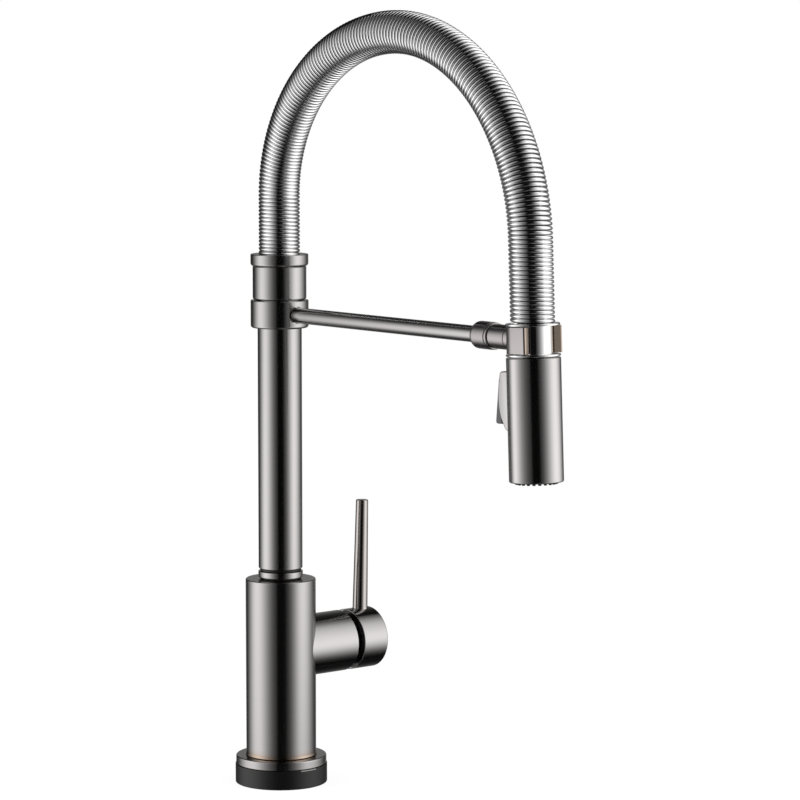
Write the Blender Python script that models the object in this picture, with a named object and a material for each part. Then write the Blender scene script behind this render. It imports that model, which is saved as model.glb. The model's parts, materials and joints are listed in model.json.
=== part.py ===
# Single handle kitchen faucet with a coil spring spout, a docking arm and a pull out spray wand.
# Metres, +Z up, spout along +X, handle along +Y, origin at the middle of the base on the deck.
import math

import bmesh
import bpy
import numpy as np
from mathutils import Matrix, Vector

for old in list(bpy.data.objects):
    bpy.data.objects.remove(old, do_unlink=True)

# Clearances
FIT_GAP = 0.0003
SLIDE_GAP = 0.0004
THREAD_GAP = 0.0003
BARB_GAP = 0.0006

# Base on the deck
BASE_DIAMETER = 0.0635
BASE_DRAFT = 0.0001
BASE_HEIGHT = 0.0132
BASE_EDGE = 0.0006
GASKET_WIDTH = 0.0118
GASKET_THICKNESS = 0.0020
LENS_SPAN_DEG = 24.0
LENS_HEIGHT = 0.0010
LENS_DEPTH = 0.0030
BOARD_LENGTH = 0.0040
BOARD_WIDTH = 0.0080
BOARD_THICKNESS = 0.0012
TRIM_DIAMETER = 0.0626
TRIM_HEIGHT = 0.0057
TRIM_EDGE = 0.0008

# Fixing below the deck
DECK_THICKNESS = 0.0300
SHANK_DIAMETER = 0.0324
SHANK_BORE = 0.0250
SHANK_DROP = 0.0600
SHANK_HEAD_HEIGHT = 0.0070
WASHER_DIAMETER = 0.0520
SEAL_WASHER_THICKNESS = 0.0020
STEEL_WASHER_THICKNESS = 0.0020
NUT_ACROSS_FLATS = 0.0440
NUT_HEIGHT = 0.0110
INLET_DIAMETER = 0.0096
INLET_BORE = 0.0064
INLET_SPACING = 0.0120
INLET_TAIL = 0.0120
INLET_SOCKET = 0.0080

# Body and handle stub
BODY_DIAMETER = 0.0484
BODY_HEIGHT = 0.1229
BODY_WALL = 0.0035
BODY_CAP = 0.0140
BODY_EDGE = 0.0008
HANDLE_HEIGHT = 0.0929
STUB_DIAMETER = 0.0425
STUB_WALL = 0.0034
STUB_REACH = 0.0524
STUB_EDGE = 0.0004
STUB_INSET = 0.0180

# Mixing valve
BLOCK_DIAMETER = 0.0230
BLOCK_FOOT = 0.0300
BLOCK_SEAT = 0.0240
SPIGOT_DIAMETER = 0.0180
OUTLET_BORE = 0.0100
CARTRIDGE_LENGTH = 0.0210
ROTOR_DIAMETER = 0.0164
ROTOR_FLOOR = 0.0050
ROTOR_SLOT = 0.0116
STEM_DIAMETER = 0.0080
STEM_TAIL = 0.0050
STEM_PIN_DIAMETER = 0.0024
BONNET_SHOW = 0.0044
BONNET_STEP = 0.0016

# Handle
HANDLE_GAP = 0.0054
CAP_LENGTH = 0.0210
CAP_CAVITY = 0.0082
CAP_WALL = 0.0054
CAP_EDGE = 0.0006
CAP_END_WALL = 0.0048
LEVER_STAND = 0.0120
LEVER_LENGTH = 0.0773
LEVER_FOOT_DIAMETER = 0.0104
LEVER_TIP_DIAMETER = 0.0082
LEVER_LEAN_DEG = 1.6
LEVER_STUD_DIAMETER = 0.0050
LEVER_STUD_LENGTH = 0.0032
LEVER_SEAT_DROP = 0.0008
GRUB_DIAMETER = 0.0040
FLOW_ANGLE_DEG = 12.0

# Swivel at the foot of the riser
GLIDE_THICKNESS = 0.0006
COLLAR_DIAMETER = 0.0307
COLLAR_HEIGHT = 0.0042
GROOVE_HEIGHT = 0.0014
GROOVE_DEPTH = 0.0010
RISER_DIAMETER = 0.0303
RISER_WALL = 0.0015
BUSHING_HEIGHT = 0.0152
SEAL_SECTION = 0.0018
SEAL_SPACING = 0.0070
CLIP_HEIGHT = 0.0014
CLIP_DEPTH = 0.0016

# Hub on the riser
ARM_HEIGHT = 0.3254
ARM_RING_DIAMETER = 0.0397
ARM_RING_HEIGHT = 0.0190
ARM_RING_EDGE = 0.0010
SLEEVE_DIAMETER = 0.0368
SLEEVE_HEIGHT = 0.0227
SLEEVE_EDGE = 0.0008
SEAT_DIAMETER = 0.0396
SEAT_HEIGHT = 0.0082
SEAT_EDGE = 0.0009
SEAT_POCKET = 0.0046
SEAT_SKIRT = 0.0060
NIPPLE_HEIGHT = 0.0140
NIPPLE_BARB = 0.0140

# Support arm
ARM_DIAMETER = 0.0107
ARM_HOLE_RIM = 0.0007
ARM_HOLE_DEPTH = 0.0022
ARM_STUD_DIAMETER = 0.0074
ARM_EDGE = 0.0006
FERRULE_DIAMETER = 0.0178
FERRULE_LENGTH = 0.0148
FERRULE_ROUND = 0.0026
LOCK_RING_DIAMETER = 0.0175
LOCK_RING_LENGTH = 0.0021
NECK_DIAMETER = 0.0157
NECK_LENGTH = 0.0147
NECK_STUD_DIAMETER = 0.0080
BOSS_LENGTH = 0.0051

# Arch of the spring and the hose inside it
REACH = 0.2598
WAND_LEAN_DEG = 2.5
RISE_STRAIGHT_TOP = 0.4062
CROWN_HEIGHT = 0.5169
CROWN_X = 0.1255
FALL_HEIGHT = 0.1288
SPRING_DIAMETER = 0.0284
WIRE_DIAMETER = 0.0042
SPRING_CURLS = 80
CURL_POINTS = 8
HOSE_DIAMETER = 0.0146
HOSE_BORE = 0.0080

# Dock and wand, measured along the leaning wand axis from the arm
SPOOL_DIAMETER = 0.0345
SPOOL_NECK_DIAMETER = 0.0248
SPOOL_FLATS = 0.0194
SPOOL_NECK_HEIGHT = 0.0179
SPOOL_FLANGE = 0.0015
SPOOL_RISE = 0.00035
SPOOL_BORE = 0.0140
SPOOL_EDGE = 0.0006
CRADLE_WIDTH = 0.0325
CRADLE_BACK = 0.0150
CRADLE_CORNER = 0.0130
CRADLE_ARM = 0.0102
CRADLE_LEAD = 0.0025
CRADLE_EDGE = 0.0006
MAGNET_DIAMETER = 0.0060
MAGNET_LENGTH = 0.0036
WAND_DIAMETER = 0.0346
WAND_WALL = 0.0020
WAND_LENGTH = 0.0783
WAND_TOP_GAP = 0.0007
WAND_ROOF = 0.0030
WAND_EDGE = 0.0010
NIPPLE_NUT_DIAMETER = 0.0210
NIPPLE_NUT_HEIGHT = 0.0056
CORE_NECK_DIAMETER = 0.0160
CORE_HEIGHT = 0.0260
CORE_BORE = 0.0070
FACE_RECESS = 0.0015
NOZZLE_PAD = 0.0030
NOZZLE_COUNT = 22
NOZZLE_RING_DIAMETER = 0.0254
NOZZLE_DIAMETER = 0.0021
NOZZLE_SHOW = 0.0012
AERATOR_DIAMETER = 0.0196
AERATOR_BORE = 0.0130
AERATOR_LIP = 0.0006
SCREEN_THICKNESS = 0.0012

# Spray button on the side of the wand that faces the riser
BUTTON_TOP = 0.0196
BUTTON_HEIGHT = 0.0375
BUTTON_WIDTH = 0.0200
BUTTON_PROUD = 0.0062
BEZEL_SIDE = 0.0010
BEZEL_FLOOR = 0.0010
BEZEL_TOP_CUT = 0.06
BEZEL_CREST = 0.45
BEZEL_RISE = 0.69
BEZEL_FALL = 0.60
ROCKER_TOP_INSET = 0.0044
ROCKER_LENGTH = 0.0290
ROCKER_PROUD = 0.0043
ROCKER_ROUND = 0.0016
ROCKER_TILT_DEG = 7.7
ROCKER_TRAVEL = 0.0021
ROCKER_PIN_DIAMETER = 0.0024
ROCKER_PIN_DROP = 0.0152
ROCKER_PIN_OUT = 0.0042
ROD_DIAMETER = 0.0034
ROD_DROP = 0.0265
ROD_GAP = 0.0005

# Facets
LARGE_STEPS = 26
MIDDLE_STEPS = 14
SMALL_STEPS = 10

FINISHES = {
    "dark_steel": ((0.30, 0.29, 0.28), 0.28, 1.0),
    "chrome": ((0.75, 0.75, 0.76), 0.08, 1.0),
    "steel": ((0.55, 0.55, 0.56), 0.30, 1.0),
    "brass": ((0.72, 0.55, 0.25), 0.30, 1.0),
    "black_plastic": ((0.02, 0.02, 0.02), 0.45, 0.0),
    "white_plastic": ((0.75, 0.75, 0.74), 0.40, 0.0),
    "grey_plastic": ((0.10, 0.10, 0.11), 0.40, 0.0),
    "rubber": ((0.03, 0.03, 0.03), 0.70, 0.0),
    "lens": ((0.70, 0.70, 0.68), 0.20, 0.0),
    "magnet": ((0.22, 0.22, 0.23), 0.40, 1.0),
    "board": ((0.03, 0.16, 0.07), 0.50, 0.0),
}

# Heights and radii that several pieces share
shankRadius = SHANK_DIAMETER / 2
shankHole = shankRadius + FIT_GAP
trimFoot = BASE_HEIGHT + FIT_GAP
trimTop = trimFoot + TRIM_HEIGHT
bodyFoot = trimTop + FIT_GAP
bodyTop = bodyFoot + BODY_HEIGHT
bodyRadius = BODY_DIAMETER / 2
bodyBore = bodyRadius - BODY_WALL
capUnder = bodyTop - BODY_CAP
spigotRadius = SPIGOT_DIAMETER / 2
stubRadius = STUB_DIAMETER / 2
stubBore = stubRadius - STUB_WALL
collarFoot = bodyTop + FIT_GAP + GLIDE_THICKNESS + FIT_GAP
collarTop = collarFoot + COLLAR_HEIGHT
grooveFoot = collarTop + FIT_GAP
riserFoot = grooveFoot + GROOVE_HEIGHT + FIT_GAP
riserRadius = RISER_DIAMETER / 2
riserBore = riserRadius - RISER_WALL
bushingTop = riserFoot + BUSHING_HEIGHT
clipFoot = bushingTop + FIT_GAP
armRingFoot = ARM_HEIGHT - ARM_RING_HEIGHT / 2
armRingTop = ARM_HEIGHT + ARM_RING_HEIGHT / 2
sleeveFoot = armRingTop + FIT_GAP
sleeveTop = sleeveFoot + SLEEVE_HEIGHT
seatFoot = sleeveTop + FIT_GAP
seatTop = seatFoot + SEAT_HEIGHT
springSeat = seatTop - SEAT_POCKET
riserTop = seatFoot - SEAT_SKIRT - FIT_GAP
nippleShoulder = springSeat - FIT_GAP
lean = math.radians(WAND_LEAN_DEG)
spoolLip = SPOOL_RISE + SPOOL_NECK_HEIGHT / 2
spoolWaist = spoolLip - SPOOL_NECK_HEIGHT
spoolTop = spoolLip + SPOOL_FLANGE
spoolFoot = spoolWaist - SPOOL_FLANGE
wandTop = spoolFoot - WAND_TOP_GAP
wandFoot = wandTop - WAND_LENGTH
wandRadius = WAND_DIAMETER / 2
wandBore = wandRadius - WAND_WALL
hoseRadius = HOSE_DIAMETER / 2


def make_material(name, finish):
    colour, roughness, metallic = FINISHES[finish]
    material = bpy.data.materials.new(name + "_" + finish)
    material.use_nodes = True
    shader = material.node_tree.nodes["Principled BSDF"]
    shader.inputs["Base Color"].default_value = (*colour, 1.0)
    shader.inputs["Roughness"].default_value = roughness
    shader.inputs["Metallic"].default_value = metallic
    material.diffuse_color = (*colour, 1.0)
    return material


def make_axis(name, place, turn=(0.0, 0.0, 0.0), parent=None):
    axis = bpy.data.objects.new(name, None)
    axis.empty_display_size = 0.02
    axis.location = place
    axis.rotation_euler = turn
    axis.parent = parent
    bpy.context.scene.collection.objects.link(axis)
    return axis


def add_object(name, mesh, parent, finish=None):
    data = bpy.data.meshes.new(name)
    mesh.to_mesh(data)
    mesh.free()
    thing = bpy.data.objects.new(name, data)
    thing.parent = parent
    if finish:
        data.materials.append(make_material(name, finish))
    bpy.context.scene.collection.objects.link(thing)
    return thing


def add_lathe(name, outline, parent, finish=None, steps=MIDDLE_STEPS):
    # Outline points are (radius, height). It is a closed ring unless both ends lie on the axis.
    mesh = bmesh.new()
    verts = [mesh.verts.new((radius, 0.0, height)) for radius, height in outline]
    edges = [mesh.edges.new(pair) for pair in zip(verts, verts[1:])]
    if outline[0][0] > 0 and outline[-1][0] > 0:
        edges.append(mesh.edges.new((verts[-1], verts[0])))
    bmesh.ops.spin(
        mesh, geom=verts + edges, cent=(0, 0, 0), axis=(0, 0, 1),
        angle=math.tau, steps=steps, use_merge=True)
    bmesh.ops.remove_doubles(mesh, verts=mesh.verts, dist=0.000002)
    bmesh.ops.recalc_face_normals(mesh, faces=mesh.faces)
    return add_object(name, mesh, parent, finish)


def add_prism(name, outline, low, high, parent, finish=None):
    mesh = bmesh.new()
    face = mesh.faces.new([mesh.verts.new((x, y, low)) for x, y in outline])
    grown = bmesh.ops.extrude_face_region(mesh, geom=[face])
    risen = [part for part in grown["geom"] if isinstance(part, bmesh.types.BMVert)]
    bmesh.ops.translate(mesh, verts=risen, vec=(0.0, 0.0, high - low))
    bmesh.ops.recalc_face_normals(mesh, faces=mesh.faces)
    return add_object(name, mesh, parent, finish)


def add_rod(name, radius, low, high, parent, finish=None, steps=SMALL_STEPS):
    outline = [(0.0, low), (radius, low), (radius, high), (0.0, high)]
    return add_lathe(name, outline, parent, finish, steps)


def ring_outline(bore, radius, low, high, low_edge=0.0, high_edge=0.0):
    outline = [(bore, low)]
    outline += [(radius - low_edge, low), (radius, low + low_edge)] if low_edge else [(radius, low)]
    outline += [(radius, high - high_edge), (radius - high_edge, high)] if high_edge else [(radius, high)]
    outline += [(bore, high)]
    return outline


def arc_points(centre, radius, start_deg, end_deg, count):
    angles = [math.radians(start_deg + (end_deg - start_deg) * i / count) for i in range(count + 1)]
    return [(centre[0] + radius * math.cos(a), centre[1] + radius * math.sin(a)) for a in angles]


def use_boolean(target, tool, operation):
    tool.display_type = "WIRE"
    tool.hide_render = True
    step = target.modifiers.new(operation.lower(), "BOOLEAN")
    step.operation = operation
    step.solver = "EXACT"
    step.object = tool


def place(thing, location, turn=(0.0, 0.0, 0.0)):
    thing.location = location
    thing.rotation_euler = turn
    return thing


# Axes that carry the pieces
quarter = math.pi / 2
deckAxis = make_axis("deck_axis", (0, 0, 0))
spoutAxis = make_axis("spout_axis", (0, 0, 0), parent=deckAxis)
armAxis = make_axis("arm_axis", (0, 0, ARM_HEIGHT), (0, quarter, 0), spoutAxis)
wandAxis = make_axis("wand_axis", (REACH, 0, ARM_HEIGHT), (0, -lean, 0), spoutAxis)
stubAxis = make_axis("stub_axis", (0, 0, HANDLE_HEIGHT), (-quarter, 0, 0), deckAxis)


def build_base():
    radius = BASE_DIAMETER / 2
    top = radius - BASE_DRAFT
    gasketRadius = shankHole + GASKET_WIDTH
    pocket = GASKET_THICKNESS + FIT_GAP
    base = add_lathe("touch_base_ring", [
        (shankHole, pocket), (gasketRadius + FIT_GAP, pocket), (gasketRadius + FIT_GAP, 0.0),
        (radius - BASE_EDGE, 0.0), (radius, BASE_EDGE), (top, BASE_HEIGHT), (shankHole, BASE_HEIGHT),
    ], deckAxis, "black_plastic", LARGE_STEPS)
    add_lathe("deck_gasket", ring_outline(shankHole, gasketRadius, 0.0, GASKET_THICKNESS),
              deckAxis, "rubber", LARGE_STEPS)

    # The pale indicator window lies in a notch in the front of the top edge, with its board behind it.
    half = LENS_SPAN_DEG / 2
    lensFoot = BASE_HEIGHT - LENS_HEIGHT
    lensBack = top - LENS_DEPTH
    slack = math.degrees(FIT_GAP / lensBack)

    def sector(inner, outer, spread):
        outside = arc_points((0, 0), outer, -spread, spread, 8)
        return outside + arc_points((0, 0), inner, spread, -spread, 8)

    notch = add_prism("lens_notch", sector(lensBack - FIT_GAP, radius + LENS_DEPTH, half + slack),
                      lensFoot - FIT_GAP, trimTop, deckAxis)
    use_boolean(base, notch, "DIFFERENCE")
    add_prism("indicator_lens", sector(lensBack, top - FIT_GAP / 3, half), lensFoot, BASE_HEIGHT,
              deckAxis, "lens")
    boardFront = lensBack * math.cos(math.radians(half)) - FIT_GAP
    boardBack = boardFront - BOARD_LENGTH
    wide = BOARD_WIDTH / 2
    boardFoot = BASE_HEIGHT - BOARD_THICKNESS - FIT_GAP

    def slab(back, front, side):
        return [(back, -side), (front, -side), (front, side), (back, side)]

    pit = add_prism("board_pit", slab(boardBack - FIT_GAP, lensBack, wide + FIT_GAP),
                    boardFoot - FIT_GAP, trimTop, deckAxis)
    use_boolean(base, pit, "DIFFERENCE")
    add_prism("indicator_board", slab(boardBack, boardFront, wide), boardFoot,
              boardFoot + BOARD_THICKNESS, deckAxis, "board")
    trim = ring_outline(shankHole, TRIM_DIAMETER / 2, trimFoot, trimTop, FIT_GAP, TRIM_EDGE)
    add_lathe("trim_ring", trim, deckAxis, "dark_steel", LARGE_STEPS)


def build_fixing():
    headRadius = bodyBore - THREAD_GAP
    headFoot = bodyFoot + FIT_GAP
    add_lathe("mounting_shank", [
        (SHANK_BORE / 2, -SHANK_DROP), (shankRadius, -SHANK_DROP), (shankRadius, headFoot),
        (headRadius, headFoot), (headRadius, headFoot + SHANK_HEAD_HEIGHT),
        (SHANK_BORE / 2, headFoot + SHANK_HEAD_HEIGHT),
    ], deckAxis, "brass", MIDDLE_STEPS)
    sealFoot = -DECK_THICKNESS - SEAL_WASHER_THICKNESS
    steelTop = sealFoot - FIT_GAP
    steelFoot = steelTop - STEEL_WASHER_THICKNESS
    nutTop = steelFoot - FIT_GAP
    washerRadius = WASHER_DIAMETER / 2
    seal = ring_outline(shankHole, washerRadius, sealFoot, -DECK_THICKNESS)
    add_lathe("seal_washer", seal, deckAxis, "rubber")
    steel = ring_outline(shankHole, washerRadius, steelFoot, steelTop)
    add_lathe("steel_washer", steel, deckAxis, "steel")
    corner = NUT_ACROSS_FLATS / 2 / math.cos(math.pi / 6)
    nut = add_prism("mounting_nut", arc_points((0, 0), corner, 0, 300, 5), nutTop - NUT_HEIGHT, nutTop,
                    deckAxis, "brass")
    hole = add_rod("nut_hole", shankRadius + THREAD_GAP, nutTop - 2 * NUT_HEIGHT, nutTop + NUT_HEIGHT,
                   deckAxis, steps=MIDDLE_STEPS)
    use_boolean(nut, hole, "DIFFERENCE")
    foot = -SHANK_DROP - INLET_TAIL
    top = bodyFoot + BLOCK_FOOT + INLET_SOCKET - FIT_GAP
    for name, side in (("cold_inlet_tube", 1), ("hot_inlet_tube", -1)):
        tube = add_lathe(name, ring_outline(INLET_BORE / 2, INLET_DIAMETER / 2, foot, top),
                         deckAxis, "steel", SMALL_STEPS)
        place(tube, (0.0, side * INLET_SPACING / 2, 0.0))


def build_body():
    body = add_lathe("valve_body", [
        (bodyBore, bodyFoot), (bodyRadius - BODY_EDGE, bodyFoot), (bodyRadius, bodyFoot + BODY_EDGE),
        (bodyRadius, bodyTop - BODY_EDGE), (bodyRadius - BODY_EDGE, bodyTop),
        (spigotRadius + FIT_GAP, bodyTop), (spigotRadius + FIT_GAP, capUnder), (bodyBore, capUnder),
    ], deckAxis, "dark_steel", LARGE_STEPS)
    stub = add_lathe("stub_boss", [
        (0.0, STUB_INSET), (stubRadius, STUB_INSET), (stubRadius, STUB_REACH - STUB_EDGE),
        (stubRadius - STUB_EDGE, STUB_REACH), (0.0, STUB_REACH),
    ], stubAxis, steps=LARGE_STEPS)
    bore = add_rod("stub_bore", stubBore, 0.0, STUB_REACH * 2, stubAxis, steps=LARGE_STEPS)
    use_boolean(body, stub, "UNION")
    use_boolean(body, bore, "DIFFERENCE")

    # The block inside carries the cartridge and rises through the cap as the spigot of the spout.
    foot = bodyFoot + BLOCK_FOOT
    shoulder = capUnder - FIT_GAP
    clipGroove = CLIP_HEIGHT + 2 * FIT_GAP
    top = clipFoot + clipGroove + CLIP_DEPTH
    grooveRadius = spigotRadius - CLIP_DEPTH
    blockRadius = BLOCK_DIAMETER / 2
    outlet = OUTLET_BORE / 2
    outline = [(0.0, foot), (blockRadius, foot), (blockRadius, shoulder), (spigotRadius, shoulder)]
    for low, high in seal_grooves() + [(clipFoot - FIT_GAP, clipFoot - FIT_GAP + clipGroove)]:
        outline += [(spigotRadius, low), (grooveRadius, low), (grooveRadius, high), (spigotRadius, high)]
    outline += [(spigotRadius, top), (outlet, top), (outlet, HANDLE_HEIGHT), (0.0, HANDLE_HEIGHT)]
    block = add_lathe("valve_block", outline, deckAxis, "brass", MIDDLE_STEPS)
    seat = add_rod("block_seat", stubBore - FIT_GAP, 0.0, BLOCK_SEAT, stubAxis, steps=MIDDLE_STEPS)
    use_boolean(block, seat, "UNION")
    for name, side in (("cold_socket", 1), ("hot_socket", -1)):
        hole = INLET_DIAMETER / 2 + FIT_GAP
        socket = add_rod(name, hole, foot - INLET_SOCKET, foot + INLET_SOCKET, deckAxis)
        place(socket, (0.0, side * INLET_SPACING / 2, 0.0))
        use_boolean(block, socket, "DIFFERENCE")


def seal_grooves():
    width = SEAL_SECTION + 2 * FIT_GAP
    middle = (riserFoot + bushingTop) / 2
    feet = [middle + side * SEAL_SPACING / 2 - width / 2 for side in (-1, 1)]
    return [(low, low + width) for low in feet]


# The stem tilts about a pin just under the bonnet nut.
cartridgeFoot = BLOCK_SEAT + FIT_GAP
cartridgeTop = cartridgeFoot + CARTRIDGE_LENGTH
stemPivot = cartridgeTop
rotorHole = ROTOR_DIAMETER / 2 + SLIDE_GAP
stemSwing = STEM_DIAMETER / 2 * math.sin(math.radians(FLOW_ANGLE_DEG)) + SLIDE_GAP
rotorFloor = stemPivot - STEM_TAIL - stemSwing
rotorFoot = rotorFloor - ROTOR_FLOOR
rotorTop = stemPivot + STEM_TAIL
capFoot = STUB_REACH + HANDLE_GAP
capTop = capFoot + CAP_LENGTH
stemTop = capTop - CAP_END_WALL
flowAxis = make_axis("flow_axis", (0, 0, stemPivot), parent=stubAxis)


def build_cartridge():
    shell = stubBore - FIT_GAP
    add_lathe("mixing_cartridge", [
        (0.0, cartridgeFoot), (shell, cartridgeFoot), (shell, cartridgeTop), (rotorHole, cartridgeTop),
        (rotorHole, rotorFoot - SLIDE_GAP), (0.0, rotorFoot - SLIDE_GAP),
    ], stubAxis, "white_plastic", MIDDLE_STEPS)
    nutFoot = cartridgeTop + FIT_GAP
    nutRadius = stubBore - THREAD_GAP
    rimRadius = stubBore - BONNET_STEP
    rimFoot = STUB_REACH - BONNET_STEP
    rimTop = STUB_REACH + BONNET_SHOW
    add_lathe("bonnet_nut", [
        (rotorHole, nutFoot), (nutRadius, nutFoot), (nutRadius, rimFoot), (rimRadius, rimFoot),
        (rimRadius, rimTop), (rotorHole, rimTop),
    ], stubAxis, "black_plastic", MIDDLE_STEPS)
    slot = ROTOR_SLOT / 2
    rotor = add_lathe("cartridge_rotor", [
        (0.0, rotorFoot), (ROTOR_DIAMETER / 2, rotorFoot), (ROTOR_DIAMETER / 2, rotorTop), (slot, rotorTop),
        (slot, rotorFloor), (0.0, rotorFloor),
    ], stubAxis, "white_plastic", MIDDLE_STEPS)
    stemEnd = stemTop - stemPivot - FIT_GAP
    stem = add_rod("cartridge_stem", STEM_DIAMETER / 2, -STEM_TAIL, stemEnd, flowAxis, "brass")
    pinRadius = STEM_PIN_DIAMETER / 2
    pinHalf = ROTOR_DIAMETER / 2 - FIT_GAP
    pin = add_rod("stem_pin", pinRadius, -pinHalf, pinHalf, flowAxis, "steel", 8)
    hole = add_rod("stem_pin_hole", pinRadius + FIT_GAP, -ROTOR_DIAMETER, ROTOR_DIAMETER, flowAxis, steps=8)
    for thing in (pin, hole):
        place(thing, (0, 0, 0), (0, quarter, 0))
    use_boolean(rotor, hole, "DIFFERENCE")
    use_boolean(stem, hole, "DIFFERENCE")


def build_handle():
    low = capFoot - stemPivot
    high = capTop - stemPivot
    cavity = stubRadius - CAP_WALL
    floor = low + CAP_CAVITY
    socket = STEM_DIAMETER / 2 + FIT_GAP
    socketEnd = stemTop - stemPivot
    cap = add_lathe("handle_cap", [
        (0.0, socketEnd), (socket, socketEnd), (socket, floor), (cavity, floor), (cavity, low),
        (stubRadius - STUB_EDGE, low), (stubRadius, low + STUB_EDGE), (stubRadius, high - CAP_EDGE),
        (stubRadius - CAP_EDGE, high), (0.0, high),
    ], flowAxis, "dark_steel", LARGE_STEPS)

    # The lever stands on a spot face on top of the cap, with a stud below it.
    stand = low + LEVER_STAND
    leverTurn = quarter - math.radians(LEVER_LEAN_DEG)
    leverAxis = make_axis("lever_axis", (0, 0, stand), (leverTurn, 0, 0), flowAxis)
    foot = stubRadius - LEVER_SEAT_DROP
    footRadius = LEVER_FOOT_DIAMETER / 2
    tipRadius = LEVER_TIP_DIAMETER / 2
    tip = foot + LEVER_LENGTH
    studRadius = LEVER_STUD_DIAMETER / 2
    studFoot = foot - LEVER_STUD_LENGTH
    add_lathe("handle_lever", [
        (0.0, studFoot), (studRadius, studFoot), (studRadius, foot), (footRadius, foot),
        (tipRadius, tip - STUB_EDGE), (tipRadius - STUB_EDGE, tip), (0.0, tip),
    ], leverAxis, "dark_steel", MIDDLE_STEPS)
    spot = add_lathe("lever_seat", [
        (0.0, studFoot - FIT_GAP), (studRadius + FIT_GAP, studFoot - FIT_GAP),
        (studRadius + FIT_GAP, foot - FIT_GAP), (footRadius + FIT_GAP, foot - FIT_GAP),
        (footRadius + FIT_GAP, tip), (0.0, tip),
    ], leverAxis, steps=MIDDLE_STEPS)
    use_boolean(cap, spot, "DIFFERENCE")

    # A grub screw from below clamps the stem in its socket.
    grubAxis = make_axis("grub_axis", (0, 0, stand), (-quarter, 0, 0), flowAxis)
    grub = GRUB_DIAMETER / 2
    add_rod("handle_grub_screw", grub, socket, stubRadius - CAP_EDGE, grubAxis, "steel")
    hole = add_rod("grub_hole", grub + FIT_GAP, 0.0, stubRadius * 2, grubAxis)
    use_boolean(cap, hole, "DIFFERENCE")


def build_swivel():
    spigotHole = spigotRadius + FIT_GAP
    glideFoot = bodyTop + FIT_GAP
    grooveRadius = riserRadius - GROOVE_DEPTH
    washer = ring_outline(spigotHole, grooveRadius, glideFoot, glideFoot + GLIDE_THICKNESS)
    add_lathe("glide_washer", washer, deckAxis, "black_plastic")
    collar = ring_outline(spigotHole, COLLAR_DIAMETER / 2, collarFoot, collarTop, FIT_GAP, FIT_GAP)
    add_lathe("swivel_collar", collar, deckAxis, "dark_steel", LARGE_STEPS)
    ring = ring_outline(spigotHole, grooveRadius, grooveFoot, grooveFoot + GROOVE_HEIGHT)
    add_lathe("glide_ring", ring, deckAxis, "black_plastic")
    sealRadius = SEAL_SECTION / 2
    sealMiddle = spigotRadius - CLIP_DEPTH + FIT_GAP + sealRadius
    for name, (low, high) in zip(("lower_seal_ring", "upper_seal_ring"), seal_grooves()):
        outline = arc_points((sealMiddle, (low + high) / 2), sealRadius, 0, 288, 4)
        add_lathe(name, outline, deckAxis, "rubber", MIDDLE_STEPS)
    sealOuter = sealMiddle + sealRadius
    bushingBore = max(sealOuter, spigotRadius) + SLIDE_GAP
    add_lathe("riser_bushing", ring_outline(bushingBore, riserBore - FIT_GAP, riserFoot, bushingTop),
              spoutAxis, "white_plastic", MIDDLE_STEPS)
    clipBore = spigotRadius - CLIP_DEPTH + FIT_GAP
    clip = ring_outline(clipBore, bushingBore + CLIP_DEPTH, clipFoot, clipFoot + CLIP_HEIGHT)
    add_lathe("retaining_clip", clip, deckAxis, "steel")
    add_lathe("riser_tube", ring_outline(riserBore, riserRadius, riserFoot, riserTop, STUB_EDGE),
              spoutAxis, "dark_steel", LARGE_STEPS)


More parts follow.
